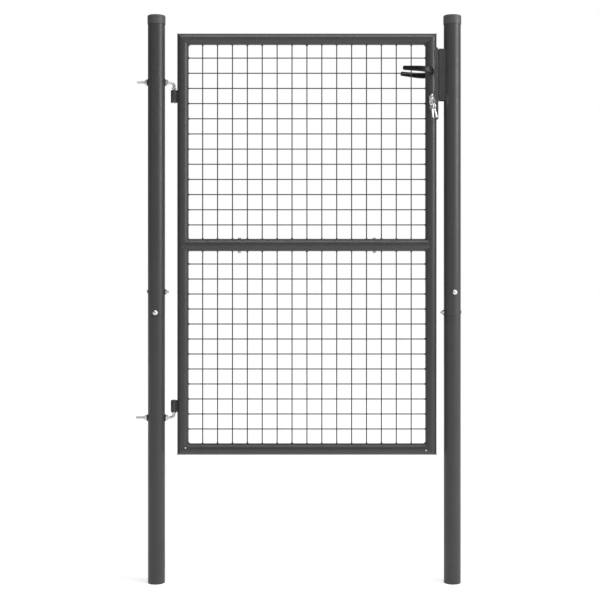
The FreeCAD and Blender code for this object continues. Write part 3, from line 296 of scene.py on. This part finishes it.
BEAD_STEP = 0.6 * MM
BEAD_SIDES = 12
BEAD_END = 0.25
RIPPLE = 2.4 * MM
RIPPLE_DEPTH = 0.10
WANDER = 6 * MM
WANDER_DEPTH = 0.12


def bead(shape, path, size, seed, closed=False):
    """A rippled weld bead along a path; size is a number, or one number for each point."""
    sizes = size if isinstance(size, list) else [size] * len(path)
    travelled = [0.0]
    for before, after in zip(path, path[1:]):
        travelled.append(travelled[-1] + (after - before).length)
    total = travelled[-1]

    def radius(index, angle):
        distance = travelled[index]
        ripple = abs(math.sin(math.pi * distance / RIPPLE))
        wander = noise.noise(Vector((distance / WANDER, seed * 5.1, 0)))
        from_end = min(distance, total - distance)
        end = 1.0 if closed else min(1.0, BEAD_END + from_end / sizes[index])
        swell = 1 - RIPPLE_DEPTH + RIPPLE_DEPTH * ripple + WANDER_DEPTH * wander
        return sizes[index] * end * swell

    shape.sweep(path, radius, BEAD_SIDES, closed)


def around(count):
    """Evenly spaced angles round a circle."""
    return [math.tau * index / count for index in range(count)]


def mitre_welds():
    """A bead round each mitre of the leaf, thickest in the inner corner."""
    stile_low, stile_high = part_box("hinge_stile")
    lock_low, lock_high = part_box("lock_stile")
    radius = (stile_high.y - stile_low.y) / 2
    left = (stile_low.x + stile_high.x) / 2
    right = (lock_low.x + lock_high.x) / 2
    low = stile_low.z + radius
    high = stile_high.z - radius
    outside_size = 1.3 * MM
    inside_swell = 3.0 * MM
    sharpness = 6
    steps = 260
    shape = Shape()
    corners = ((left, high, 1, -1), (right, high, -1, -1), (left, low, 1, 1), (right, low, -1, 1))
    for seed, (x, z, inward_x, inward_z) in enumerate(corners):
        path = []
        sizes = []
        for angle in around(steps):
            reach = radius * math.cos(angle)
            path.append(Vector((x + inward_x * reach, radius * math.sin(angle), z + inward_z * reach)))
            inner = (1 + math.cos(angle)) / 2
            sizes.append(outside_size + inside_swell * inner ** sharpness)
        bead(shape, path, sizes, seed, closed=True)
    shape.piece("mitre_welds", "leaf", "anthracite_coat")


def mid_rail_welds():
    """A bead round each end of the mid rail, where it is coped over the stile."""
    rail_low, rail_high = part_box("mid_rail")
    rail_radius = (rail_high.z - rail_low.z) / 2
    height = (rail_high.z + rail_low.z) / 2
    size = 1.9 * MM
    steps = 240
    shape = Shape()
    for seed, (node, way) in enumerate((("hinge_stile", 1), ("lock_stile", -1))):
        stile_low, stile_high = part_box(node)
        stile_radius = (stile_high.y - stile_low.y) / 2
        axis = centre_of(node).x
        path = []
        for angle in around(steps):
            y = rail_radius * math.cos(angle)
            reach = math.sqrt(max(0.0, stile_radius ** 2 - y * y))
            path.append(Vector((axis + way * reach, y, height + rail_radius * math.sin(angle))))
        bead(shape, path, size, seed + 10, closed=True)
    shape.piece("mid_rail_welds", "leaf", "anthracite_coat")


def hinge_welds():
    """Upright beads in the clefts between the hinge sleeves and the stile."""
    stile_low, stile_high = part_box("hinge_stile")
    stile_radius = (stile_high.y - stile_low.y) / 2
    stile_x = centre_of("hinge_stile").x
    size = 3.2 * MM
    sunk = 1.0 * MM
    inset = 3.5 * MM
    shape = Shape()
    for seed, node in enumerate(("upper_hinge_sleeve", "lower_hinge_sleeve")):
        low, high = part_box(node)
        pin = centre_of(node)
        from_pin = (high.x - low.x) / 2 + size - sunk
        from_stile = stile_radius + size - sunk
        apart = stile_x - pin.x
        x = (from_pin ** 2 - from_stile ** 2 + apart ** 2) / (2 * apart)
        y = math.sqrt(from_pin ** 2 - x * x)
        for side in (-1, 1):
            foot = Vector((pin.x + x, side * y, low.z + inset))
            top = Vector((pin.x + x, side * y, high.z - inset))
            bead(shape, line(foot, top, BEAD_STEP), size, 20 + 2 * seed + side)
    shape.piece("hinge_sleeve_welds", "leaf", "anthracite_coat")


STITCHES = 4


def stitches(shape, x, y, low, high, length, size, seed):
    """Short upright beads, evenly spaced between two heights."""
    pitch = (high - low - length) / (STITCHES - 1)
    for number in range(STITCHES):
        foot = Vector((x, y, low + number * pitch))
        bead(shape, line(foot, foot + Vector((0, 0, length)), BEAD_STEP), size, seed + number)


def lock_welds():
    """Stitch welds that hold the lock housing to its stile, and the keeper to its post."""
    edge = 4 * MM
    low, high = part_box("lock_housing")
    stile_low, stile_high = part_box("lock_stile")
    radius = (stile_high.y - stile_low.y) / 2
    x = centre_of("lock_stile").x + math.sqrt(radius ** 2 - high.y ** 2)
    top_edge = 4 * edge
    length = 26 * MM
    size = 1.9 * MM
    shape = Shape()
    for side in (-1, 1):
        stitches(shape, x, side * high.y, low.z + edge, high.z - top_edge, length, size, 30 + 5 * side)
    shape.piece("lock_housing_welds", "leaf", "anthracite_coat")

    low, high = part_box("strike_keeper")
    post_low, post_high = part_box("latch_post_lower_tube")
    radius = (post_high.y - post_low.y) / 2
    axis = centre_of("latch_post_lower_tube").x
    length = 22 * MM
    size = 2.0 * MM
    shape = Shape()
    for y in (low.y, high.y):
        x = axis - math.sqrt(radius ** 2 - y * y)
        stitches(shape, x, y, low.z + edge, high.z - edge, length, size, 50 + round(y / MM))
    shape.piece("keeper_welds", "posts", "anthracite_coat")


def loose_parts(node):
    """The lowest and highest corners of each separate solid in a CAD node."""
    mesh = bmesh.new()
    mesh.from_mesh(frame["nodes"][node].data)
    bmesh.ops.remove_doubles(mesh, verts=mesh.verts, dist=0.001 * MM)
    waiting = set(mesh.verts)
    found = []
    while waiting:
        stack = [waiting.pop()]
        part = []
        while stack:
            vertex = stack.pop()
            part.append(vertex.co.copy())
            for edge in vertex.link_edges:
                other = edge.other_vert(vertex)
                if other in waiting:
                    waiting.remove(other)
                    stack.append(other)
        low = Vector(min(point[axis] for point in part) for axis in range(3))
        high = Vector(max(point[axis] for point in part) for axis in range(3))
        found.append((low, high))
    mesh.free()
    return sorted(found, key=lambda corners: tuple(corners[0]))


END_WELD = (3.6, 3.2)
CROSSING_WELD = (2.7, 1.8)
LUMP_SEEDS = 9


def mesh_welds(panel):
    """A weld at every end of every wire, and a small nugget at every crossing."""
    uprights = loose_parts(f"{panel}_uprights")
    crosswires = loose_parts(f"{panel}_crosswires")
    shape = Shape()
    picker = random.Random(len(panel))

    def weld(x, y, z, across, along):
        size = Vector((across, along, across)) * picker.uniform(0.85, 1.2) * MM
        shape.blob(Vector((x, y, z)), size, picker.random() * LUMP_SEEDS)

    for low, high in uprights:
        middle = (low + high) / 2
        for z in (low.z, high.z):
            weld(middle.x, middle.y, z, *END_WELD)
    for low, high in crosswires:
        middle = (low + high) / 2
        for x in (low.x, high.x):
            weld(x, middle.y, middle.z, *END_WELD)
        for upright_low, upright_high in uprights:
            weld((upright_low.x + upright_high.x) / 2, 0, middle.z, *CROSSING_WELD)
    shape.piece(f"{panel}_welds", "leaf", "anthracite_coat")


# ---------------------------------------------------------------- nuts, bolts and hinge rods

THREAD_STEPS = 5
THREAD_DEPTH = 0.3
NUT_SIDES = 60
NUT_CHAMFER = math.radians(30)
NUT_RIM = 0.96
BAR_CHAMFER = 0.2
HINGE_ROD_RADIUS = 5 * MM
POST_BOLT_RADIUS = 4 * MM
RAIL_BOLT_RADIUS = 3 * MM
HINGE_ROD_PITCH = 1.5 * MM
POST_BOLT_PITCH = 1.25 * MM
RAIL_BOLT_PITCH = 1.0 * MM
HINGE_NUT = (17 * MM, 8 * MM)
POST_NUT = (13 * MM, 6.5 * MM)
RAIL_NUT_WIDTH = 10 * MM


def threaded(distance, angle, pitch, depth):
    """How far the thread lies below its crest, at a distance along the bar and an angle round it."""
    phase = (distance / pitch - angle / math.tau) % 1
    return depth * abs(2 * phase - 1)


def facing(axis):
    """Two directions at right angles to an axis and to each other."""
    up = Vector((0, 0, 1)) if abs(axis.z) < 0.5 else Vector((1, 0, 0))
    return up.cross(axis).normalized(), up


def circle(centre, axis, radius, place, sides):
    """A ring of points about an axis, at a distance along it from the centre."""
    across, up = facing(axis)
    return [centre + (across * math.cos(angle) + up * math.sin(angle)) * radius + axis * place
            for angle in around(sides)]


def hexagon_rings(centre, axis, width, low, high):
    """The sides of a hexagon nut or head, with the chamfer that its bar stock leaves."""
    across, up = facing(axis)
    flat = width / 2
    rim = flat * NUT_RIM
    rings = [[], [], [], []]
    for angle in around(NUT_SIDES):
        corner = (angle + math.pi / 6) % (math.pi / 3) - math.pi / 6
        reach = flat / math.cos(corner)
        drop = (reach - rim) * math.tan(NUT_CHAMFER)
        arm = across * math.cos(angle) + up * math.sin(angle)
        for ring, radius, place in zip(rings, (rim, reach, reach, rim),
                                       (low, low + drop, high - drop, high)):
            ring.append(centre + arm * radius + axis * place)
    return rings


def nut(shape, centre, axis, width, low, high, bore):
    """A hexagon nut with countersunk ends to its thread."""
    sink = 0.6 * MM
    rings = hexagon_rings(centre, axis, width, low, high)
    for radius, place in ((bore + sink, high), (bore, high - sink), (bore, low + sink),
                          (bore + sink, low)):
        rings.append(circle(centre, axis, radius, place, NUT_SIDES))
    shape.loft(rings, closed=True)


def threaded_bar(shape, start, axis, length, radius, pitch, sides=20):
    """A round bar with a helical thread, chamfered at its far end."""
    path = line(start, start + axis * length, pitch / THREAD_STEPS)
    step = length / (len(path) - 1)

    def reach(index, angle):
        chamfer = max(0.0, radius * BAR_CHAMFER - (length - index * step))
        return radius - threaded(index * step, angle, pitch, THREAD_DEPTH * pitch) - chamfer

    shape.sweep(path, reach, sides)


def hinge_rod(node, name, downwards):
    """A J-bolt: a threaded bar through the post that turns up or down into the pin."""
    low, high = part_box(node)
    radius = HINGE_ROD_RADIUS
    bend = 14 * MM
    bend_steps = 16
    plain_end = 18 * MM
    end_chamfer = 1.0 * MM
    pin_step = 2 * MM
    sides = 24
    height = high.z - radius if downwards else low.z + radius
    pin_x = high.x - radius
    pin_end = low.z if downwards else high.z
    way = -1 if downwards else 1
    run_end = Vector((pin_x - bend, 0, height))
    step = HINGE_ROD_PITCH / THREAD_STEPS
    path = line(Vector((low.x, 0, height)), run_end, step)
    straight = len(path)
    threaded_end = high.x - plain_end - low.x
    for number in range(1, bend_steps + 1):
        angle = math.pi / 2 * number / bend_steps
        path.append(run_end + Vector((bend * math.sin(angle), 0, way * bend * (1 - math.cos(angle)))))
    path.extend(line(path[-1], Vector((pin_x, 0, pin_end)), pin_step)[1:])

    def reach(index, angle):
        chamfer = max(0.0, end_chamfer - index * step)
        if index == len(path) - 1:
            chamfer += end_chamfer
        if index < straight and index * step < threaded_end:
            depth = THREAD_DEPTH * HINGE_ROD_PITCH
            return radius - threaded(index * step, angle, HINGE_ROD_PITCH, depth) - chamfer
        return radius - chamfer

    shape = Shape()
    shape.sweep(path, reach, sides)
    shape.piece(name, "posts", "zinc_plate", node, crease=50)


def radial_nuts(node, name, post, size, bore):
    """The nuts of one post, each facing away from the post's axis."""
    width, thickness = size
    post_x = centre_of(f"{post}_lower_tube").x
    shape = Shape()
    for low, high in loose_parts(node):
        centre = (low + high) / 2
        axis = Vector((centre.x - post_x, centre.y, 0)).normalized()
        nut(shape, centre, axis, width, -thickness / 2, thickness / 2, bore)
    shape.piece(name, "posts", "zinc_plate", node)


def carriage_bolts(prefix):
    """Dome-headed bolts through a post's joint, with their threads beyond the nuts."""
    node = f"{prefix}_joint_bolts"
    post_x = centre_of(f"{prefix}_lower_tube").x
    nuts = loose_parts(f"{prefix}_joint_nuts")
    radius = POST_BOLT_RADIUS
    head_face = 30 * MM
    head_rise = 4.55 * MM
    thread_start = 36 * MM
    past_nut = POST_NUT[1] / 2 + 5 * MM
    dome_rings = 10
    sides = 40
    shape = Shape()
    for low, high in loose_parts(node):
        height = (low.z + high.z) / 2
        beside = [corners for corners in nuts if abs((corners[0].z + corners[1].z) / 2 - height) < radius]
        middle = (beside[0][0] + beside[0][1]) / 2
        axis = Vector((middle.x - post_x, middle.y, 0)).normalized()
        centre = Vector((post_x, 0, height))
        tail = (middle - centre).length + past_nut
        head = (high.z - low.z) / 2
        ball = (head ** 2 + head_rise ** 2) / (2 * head_rise)
        rings = []
        for number in range(1, dome_rings + 1):
            reach = head * number / dome_rings
            place = -head_face - head_rise + ball - math.sqrt(ball ** 2 - reach ** 2)
            rings.append(circle(centre, axis, reach, place, sides))
        for place in (-head_face, thread_start):
            rings.append(circle(centre, axis, radius, place, sides))
        shape.loft(rings)
        threaded_bar(shape, centre + axis * thread_start, axis, tail - thread_start, radius,
                     POST_BOLT_PITCH)
    shape.piece(f"{prefix}_dome_bolts", "posts", "zinc_plate", node)


def rail_bolts():
    """The two bolts down through the mid rail and the nuts under it."""
    up = Vector((0, 0, 1))
    rail_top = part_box("mid_rail")[1].z
    into_head = 1 * MM
    bolts = Shape()
    for low, high in loose_parts("mid_rail_bolts"):
        centre = Vector(((low.x + high.x) / 2, 0, 0))
        bolts.loft(hexagon_rings(centre, up, RAIL_NUT_WIDTH, rail_top, high.z))
        start = rail_top + into_head
        threaded_bar(bolts, centre + up * start, -up, start - low.z, RAIL_BOLT_RADIUS, RAIL_BOLT_PITCH,
                     sides=16)
    bolts.piece("mid_rail_hex_bolts", "leaf", "zinc_plate", "mid_rail_bolts")
    nuts = Shape()
    for low, high in loose_parts("mid_rail_nuts"):
        centre = Vector(((low.x + high.x) / 2, 0, 0))
        nut(nuts, centre, up, RAIL_NUT_WIDTH, low.z, high.z, RAIL_BOLT_RADIUS)
    nuts.piece("mid_rail_hex_nuts", "leaf", "zinc_plate", "mid_rail_nuts")


# ---------------------------------------------------------------- handles and key ring

LEVER_LEAN = math.radians(12.5)
LEVER_TILT = math.radians(2.2)
LEVER_BEND = 42 * MM
LEVER_DROP = 1 * MM
LEVER_HALF_HEIGHT = 11 * MM
LEVER_TIP_HALF_HEIGHT = 7.2 * MM
LEVER_HALF_THICK = 6.5 * MM
LEVER_NECK_RADIUS = 8 * MM
LEVER_TIP_ROUNDING = 3.5 * MM
LEVER_TIP_INSET = 0.4 * MM
LEVER_TIP_SHRINK = 0.86
LEVER_EASE_START = 4 * MM
LEVER_EASE_LENGTH = 12 * MM
LEVER_BEND_STEPS = 24
LEVER_SIDES = 36


def lever_path(root, out, reach):
    """The middle of a lever seen from above: along the neck, round the bend and out to the tip."""
    neck_end = out - LEVER_HALF_THICK - LEVER_BEND
    path = line(Vector((0, root, 0)), Vector((0, neck_end, 0)), 2 * MM)
    for number in range(1, LEVER_BEND_STEPS + 1):
        angle = (math.pi / 2 + LEVER_LEAN) * number / LEVER_BEND_STEPS
        arc = Vector((math.cos(angle) - 1, math.sin(angle), 0))
        path.append(Vector((0, neck_end, 0)) + arc * LEVER_BEND)
    along = Vector((-math.cos(LEVER_LEAN), -math.sin(LEVER_LEAN), 0))
    run = (path[-1].x + reach - LEVER_TIP_INSET) / math.cos(LEVER_LEAN) - LEVER_TIP_ROUNDING
    return path + line(path[-1], path[-1] + along * run, 3 * MM)[1:]


def lever(node, name):
    """A cast lever: a round neck that flattens as it bends, and a grip that thins to its tip."""
    low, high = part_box(node)
    side = -1 if low.y < 0 else 1
    axis = centre_of("spindle")
    reach = axis.x - low.x
    path = lever_path(min(abs(low.y), abs(high.y)), max(abs(low.y), abs(high.y)), reach)
    travelled = 0.0
    sections = []
    for index, point in enumerate(path):
        before = path[max(index - 1, 0)]
        after = path[min(index + 1, len(path) - 1)]
        travelled += (point - before).length
        forward = (after - before).normalized()
        eased = min(1.0, max(0.0, (travelled - LEVER_EASE_START) / LEVER_EASE_LENGTH))
        flat = eased * eased * (3 - 2 * eased)
        taper = max(0.0, -point.x) / reach
        grip_half = LEVER_HALF_HEIGHT + (LEVER_TIP_HALF_HEIGHT - LEVER_HALF_HEIGHT) * taper
        half_up = LEVER_NECK_RADIUS + (grip_half - LEVER_NECK_RADIUS) * flat
        half_across = LEVER_NECK_RADIUS + (LEVER_HALF_THICK - LEVER_NECK_RADIUS) * flat
        middle = (LEVER_HALF_HEIGHT - grip_half) * flat
        sections.append((point, forward, half_up, half_across, middle, 2 + 3 * flat))
    point, forward, half_up, half_across, middle, power = sections[-1]
    for part in (0.35, 0.7, 0.9, 1.0):
        shrink = math.sqrt(1 - part * part * LEVER_TIP_SHRINK)
        sections.append((point + forward * LEVER_TIP_ROUNDING * part, forward, half_up * shrink,
                         half_across * shrink, middle, power))
    rings = []
    for point, forward, half_up, half_across, middle, power in sections:
        across = Vector((forward.y, -forward.x, 0))
        ring = []
        for angle in around(LEVER_SIDES):
            wide = math.copysign(abs(math.cos(angle)) ** (2 / power), math.cos(angle))
            tall = math.copysign(abs(math.sin(angle)) ** (2 / power), math.sin(angle))
            spot = point + across * wide * half_across
            up = middle + tall * half_up
            ring.append(Vector((axis.x + spot.x * math.cos(LEVER_TILT) + up * math.sin(LEVER_TILT),
                                side * spot.y,
                                axis.z - LEVER_DROP + up * math.cos(LEVER_TILT)
                                - spot.x * math.sin(LEVER_TILT))))
        rings.append(ring)
    shape = Shape()
    shape.loft(rings)
    shape.piece(name, "handle", "black_coat", node, crease=50)


def split_ring():
    """A key ring of round wire wound two turns."""
    low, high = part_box("key_ring")
    centre = (low + high) / 2
    wire = 0.5 * MM
    turn_gap = 1.02
    radius = (high.x - low.x) / 2 - wire
    turns = 2
    steps = 64
    path = []
    for index in range(turns * steps + 1):
        angle = math.tau * index / steps
        shift = (index / (turns * steps) - 0.5) * 2 * wire * turn_gap
        path.append(centre + Vector((radius * math.sin(angle), shift, radius * math.cos(angle))))
    shape = Shape()
    shape.sweep(path, lambda index, angle: wire, 10)
    shape.piece("split_key_ring", "key", "nickel_plate", "key_ring")


mitre_welds()
mid_rail_welds()
hinge_welds()
lock_welds()
for panel in ("upper_mesh", "lower_mesh"):
    mesh_welds(panel)
hinge_rod("upper_hinge_rod", "upper_hinge_threaded_rod", downwards=True)
hinge_rod("lower_hinge_rod", "lower_hinge_threaded_rod", downwards=False)
for hinge in ("upper_hinge", "lower_hinge"):
    radial_nuts(f"{hinge}_nuts", f"{hinge}_hex_nuts", "hinge_post", HINGE_NUT, HINGE_ROD_RADIUS)
for post in ("hinge_post", "latch_post"):
    radial_nuts(f"{post}_joint_nuts", f"{post}_hex_nuts", post, POST_NUT, POST_BOLT_RADIUS)
for post in ("hinge_post", "latch_post"):
    carriage_bolts(post)
rail_bolts()
for place in ("front", "rear"):
    lever(f"{place}_lever", f"{place}_handle")
split_ring()


def soften(node, width):
    """Rounds the edges of a CAD node with modifiers; its own mesh stays as it is."""
    thing = frame["nodes"][node]
    merge = thing.modifiers.new("merge", "WELD")
    merge.merge_threshold = 0.005 * MM
    rounding = thing.modifiers.new("rounding", "BEVEL")
    rounding.width = width
    rounding.segments = 2
    rounding.limit_method = "ANGLE"
    rounding.angle_limit = math.radians(40)
    rounding.use_clamp_overlap = True


for softened, width in (("lock_housing", 0.8), ("strike_keeper", 0.6), ("lock_key", 0.25),
                        ("spare_keys", 0.25), ("upper_hinge_sleeve", 0.7),
                        ("lower_hinge_sleeve", 0.7), ("hinge_pin_collars", 0.5),
                        ("cylinder_body", 0.3), ("latch_bolt", 0.4), ("dead_bolt", 0.4),
                        ("upper_hinge_saddles", 0.6), ("lower_hinge_saddles", 0.6),
                        ("hinge_post_joint_saddles", 0.5), ("latch_post_joint_saddles", 0.5)):
    soften(softened, width * MM)


# ---------------------------------------------------------------- camera, lights and floor

LOW, HIGH = CAD_BOX
MIDDLE = (LOW + HIGH) / 2
VIEW_DISTANCE = 4.0
EYE_HEIGHT = 1.15
PICTURE_CENTRE_X = MIDDLE.x + 0.0036
PICTURE_CENTRE_Z = 0.9965
EYE_X = PICTURE_CENTRE_X + 0.1
PICTURE_WIDTH = 2.118
SENSOR_MM = 36
ROOM_LEAN = Vector((0.8, 0.3, 0.5)).normalized()
ROOM_DARK = 0.02
ROOM_BRIGHT = 0.50
FLOOR_REACH = 40.0
FLOOR_NEAR = 2.0
FLOOR_FAR = 4.5
FLOOR_GLOW = (0.50, 0.70)

camera = bpy.data.objects.new("camera", bpy.data.cameras.new("camera"))
bpy.context.scene.collection.objects.link(camera)
camera.location = (EYE_X, -VIEW_DISTANCE, EYE_HEIGHT)
camera.rotation_euler = (math.radians(90), 0, 0)
camera.data.sensor_width = SENSOR_MM
camera.data.lens = SENSOR_MM * VIEW_DISTANCE / PICTURE_WIDTH
camera.data.shift_x = (PICTURE_CENTRE_X - EYE_X) / PICTURE_WIDTH
camera.data.shift_y = (PICTURE_CENTRE_Z - EYE_HEIGHT) / PICTURE_WIDTH
bpy.context.scene.camera = camera


def softbox(name, place, aim, size, power):
    """A rectangular lamp that the camera does not see."""
    lamp = bpy.data.lights.new(name, "AREA")
    lamp.shape = "RECTANGLE"
    lamp.size, lamp.size_y = size
    lamp.energy = power
    thing = bpy.data.objects.new(name, lamp)
    bpy.context.scene.collection.objects.link(thing)
    thing.location = place
    thing.rotation_euler = (Vector(aim) - Vector(place)).to_track_quat("-Z", "Y").to_euler()
    thing.visible_camera = False


def studio_room():
    """White to the camera; to the object, a room that is dim on the left and bright on the right."""
    world = bpy.data.worlds.new("studio")
    bpy.context.scene.world = world
    world.use_nodes = True
    tree = world.node_tree
    link = tree.links.new
    seen = tree.nodes["Background"]
    seen.inputs["Color"].default_value = (1, 1, 1, 1)
    room = tree.nodes.new("ShaderNodeBackground")
    room.inputs["Color"].default_value = (1, 1, 1, 1)
    place = tree.nodes.new("ShaderNodeTexCoord")
    lean = tree.nodes.new("ShaderNodeVectorMath")
    lean.operation = "DOT_PRODUCT"
    lean.inputs[1].default_value = ROOM_LEAN
    link(place.outputs["Generated"], lean.inputs[0])
    level = tree.nodes.new("ShaderNodeMapRange")
    for key, number in (("From Min", -1), ("From Max", 1), ("To Min", ROOM_DARK), ("To Max", ROOM_BRIGHT)):
        level.inputs[key].default_value = number
    link(lean.outputs["Value"], level.inputs["Value"])
    link(level.outputs["Result"], room.inputs["Strength"])
    ray = tree.nodes.new("ShaderNodeLightPath")
    both = tree.nodes.new("ShaderNodeMixShader")
    link(ray.outputs["Is Camera Ray"], both.inputs["Fac"])
    link(room.outputs["Background"], both.inputs[1])
    link(seen.outputs["Background"], both.inputs[2])
    link(both.outputs["Shader"], tree.nodes["World Output"].inputs["Surface"])


def floor():
    """A wide pale floor that glows a little, and more towards the horizon."""
    mesh = bpy.data.meshes.new("floor")
    corners = [(MIDDLE.x + x * FLOOR_REACH, y * FLOOR_REACH, LOW.z)
               for x, y in ((-1, -1), (1, -1), (1, 1), (-1, 1))]
    mesh.from_pydata(corners, [], [(0, 1, 2, 3)])
    thing = bpy.data.objects.new("floor", mesh)
    bpy.context.scene.collection.objects.link(thing)
    made = Nodes("pale_floor")
    made.shader.inputs["Base Color"].default_value = (0.9, 0.9, 0.9, 1)
    made.shader.inputs["Roughness"].default_value = 0.8
    made.shader.inputs["Emission Color"].default_value = (1, 1, 1, 1)
    far = made.make("ShaderNodeVectorMath", operation="LENGTH")
    made.join(made.place, far.inputs[0])
    glow = made.spread(far.outputs["Value"], *FLOOR_GLOW, FLOOR_NEAR, FLOOR_FAR)
    made.join(glow, made.shader.inputs["Emission Strength"])
    mesh.materials.append(made.material)


softbox("key_light", (4.0, -1.6, 2.4), (0.5, 0, 1.2), (2.0, 2.4), 88)
softbox("top_light", (0.6, -1.2, 4.6), (0.5, 0, 1.0), (3.2, 1.6), 70)
softbox("fill_light", (-2.6, -3.6, 1.6), (0.5, 0, 1.0), (1.6, 2.2), 5)
studio_room()
bpy.context.scene.view_settings.view_transform = "Standard"
floor()
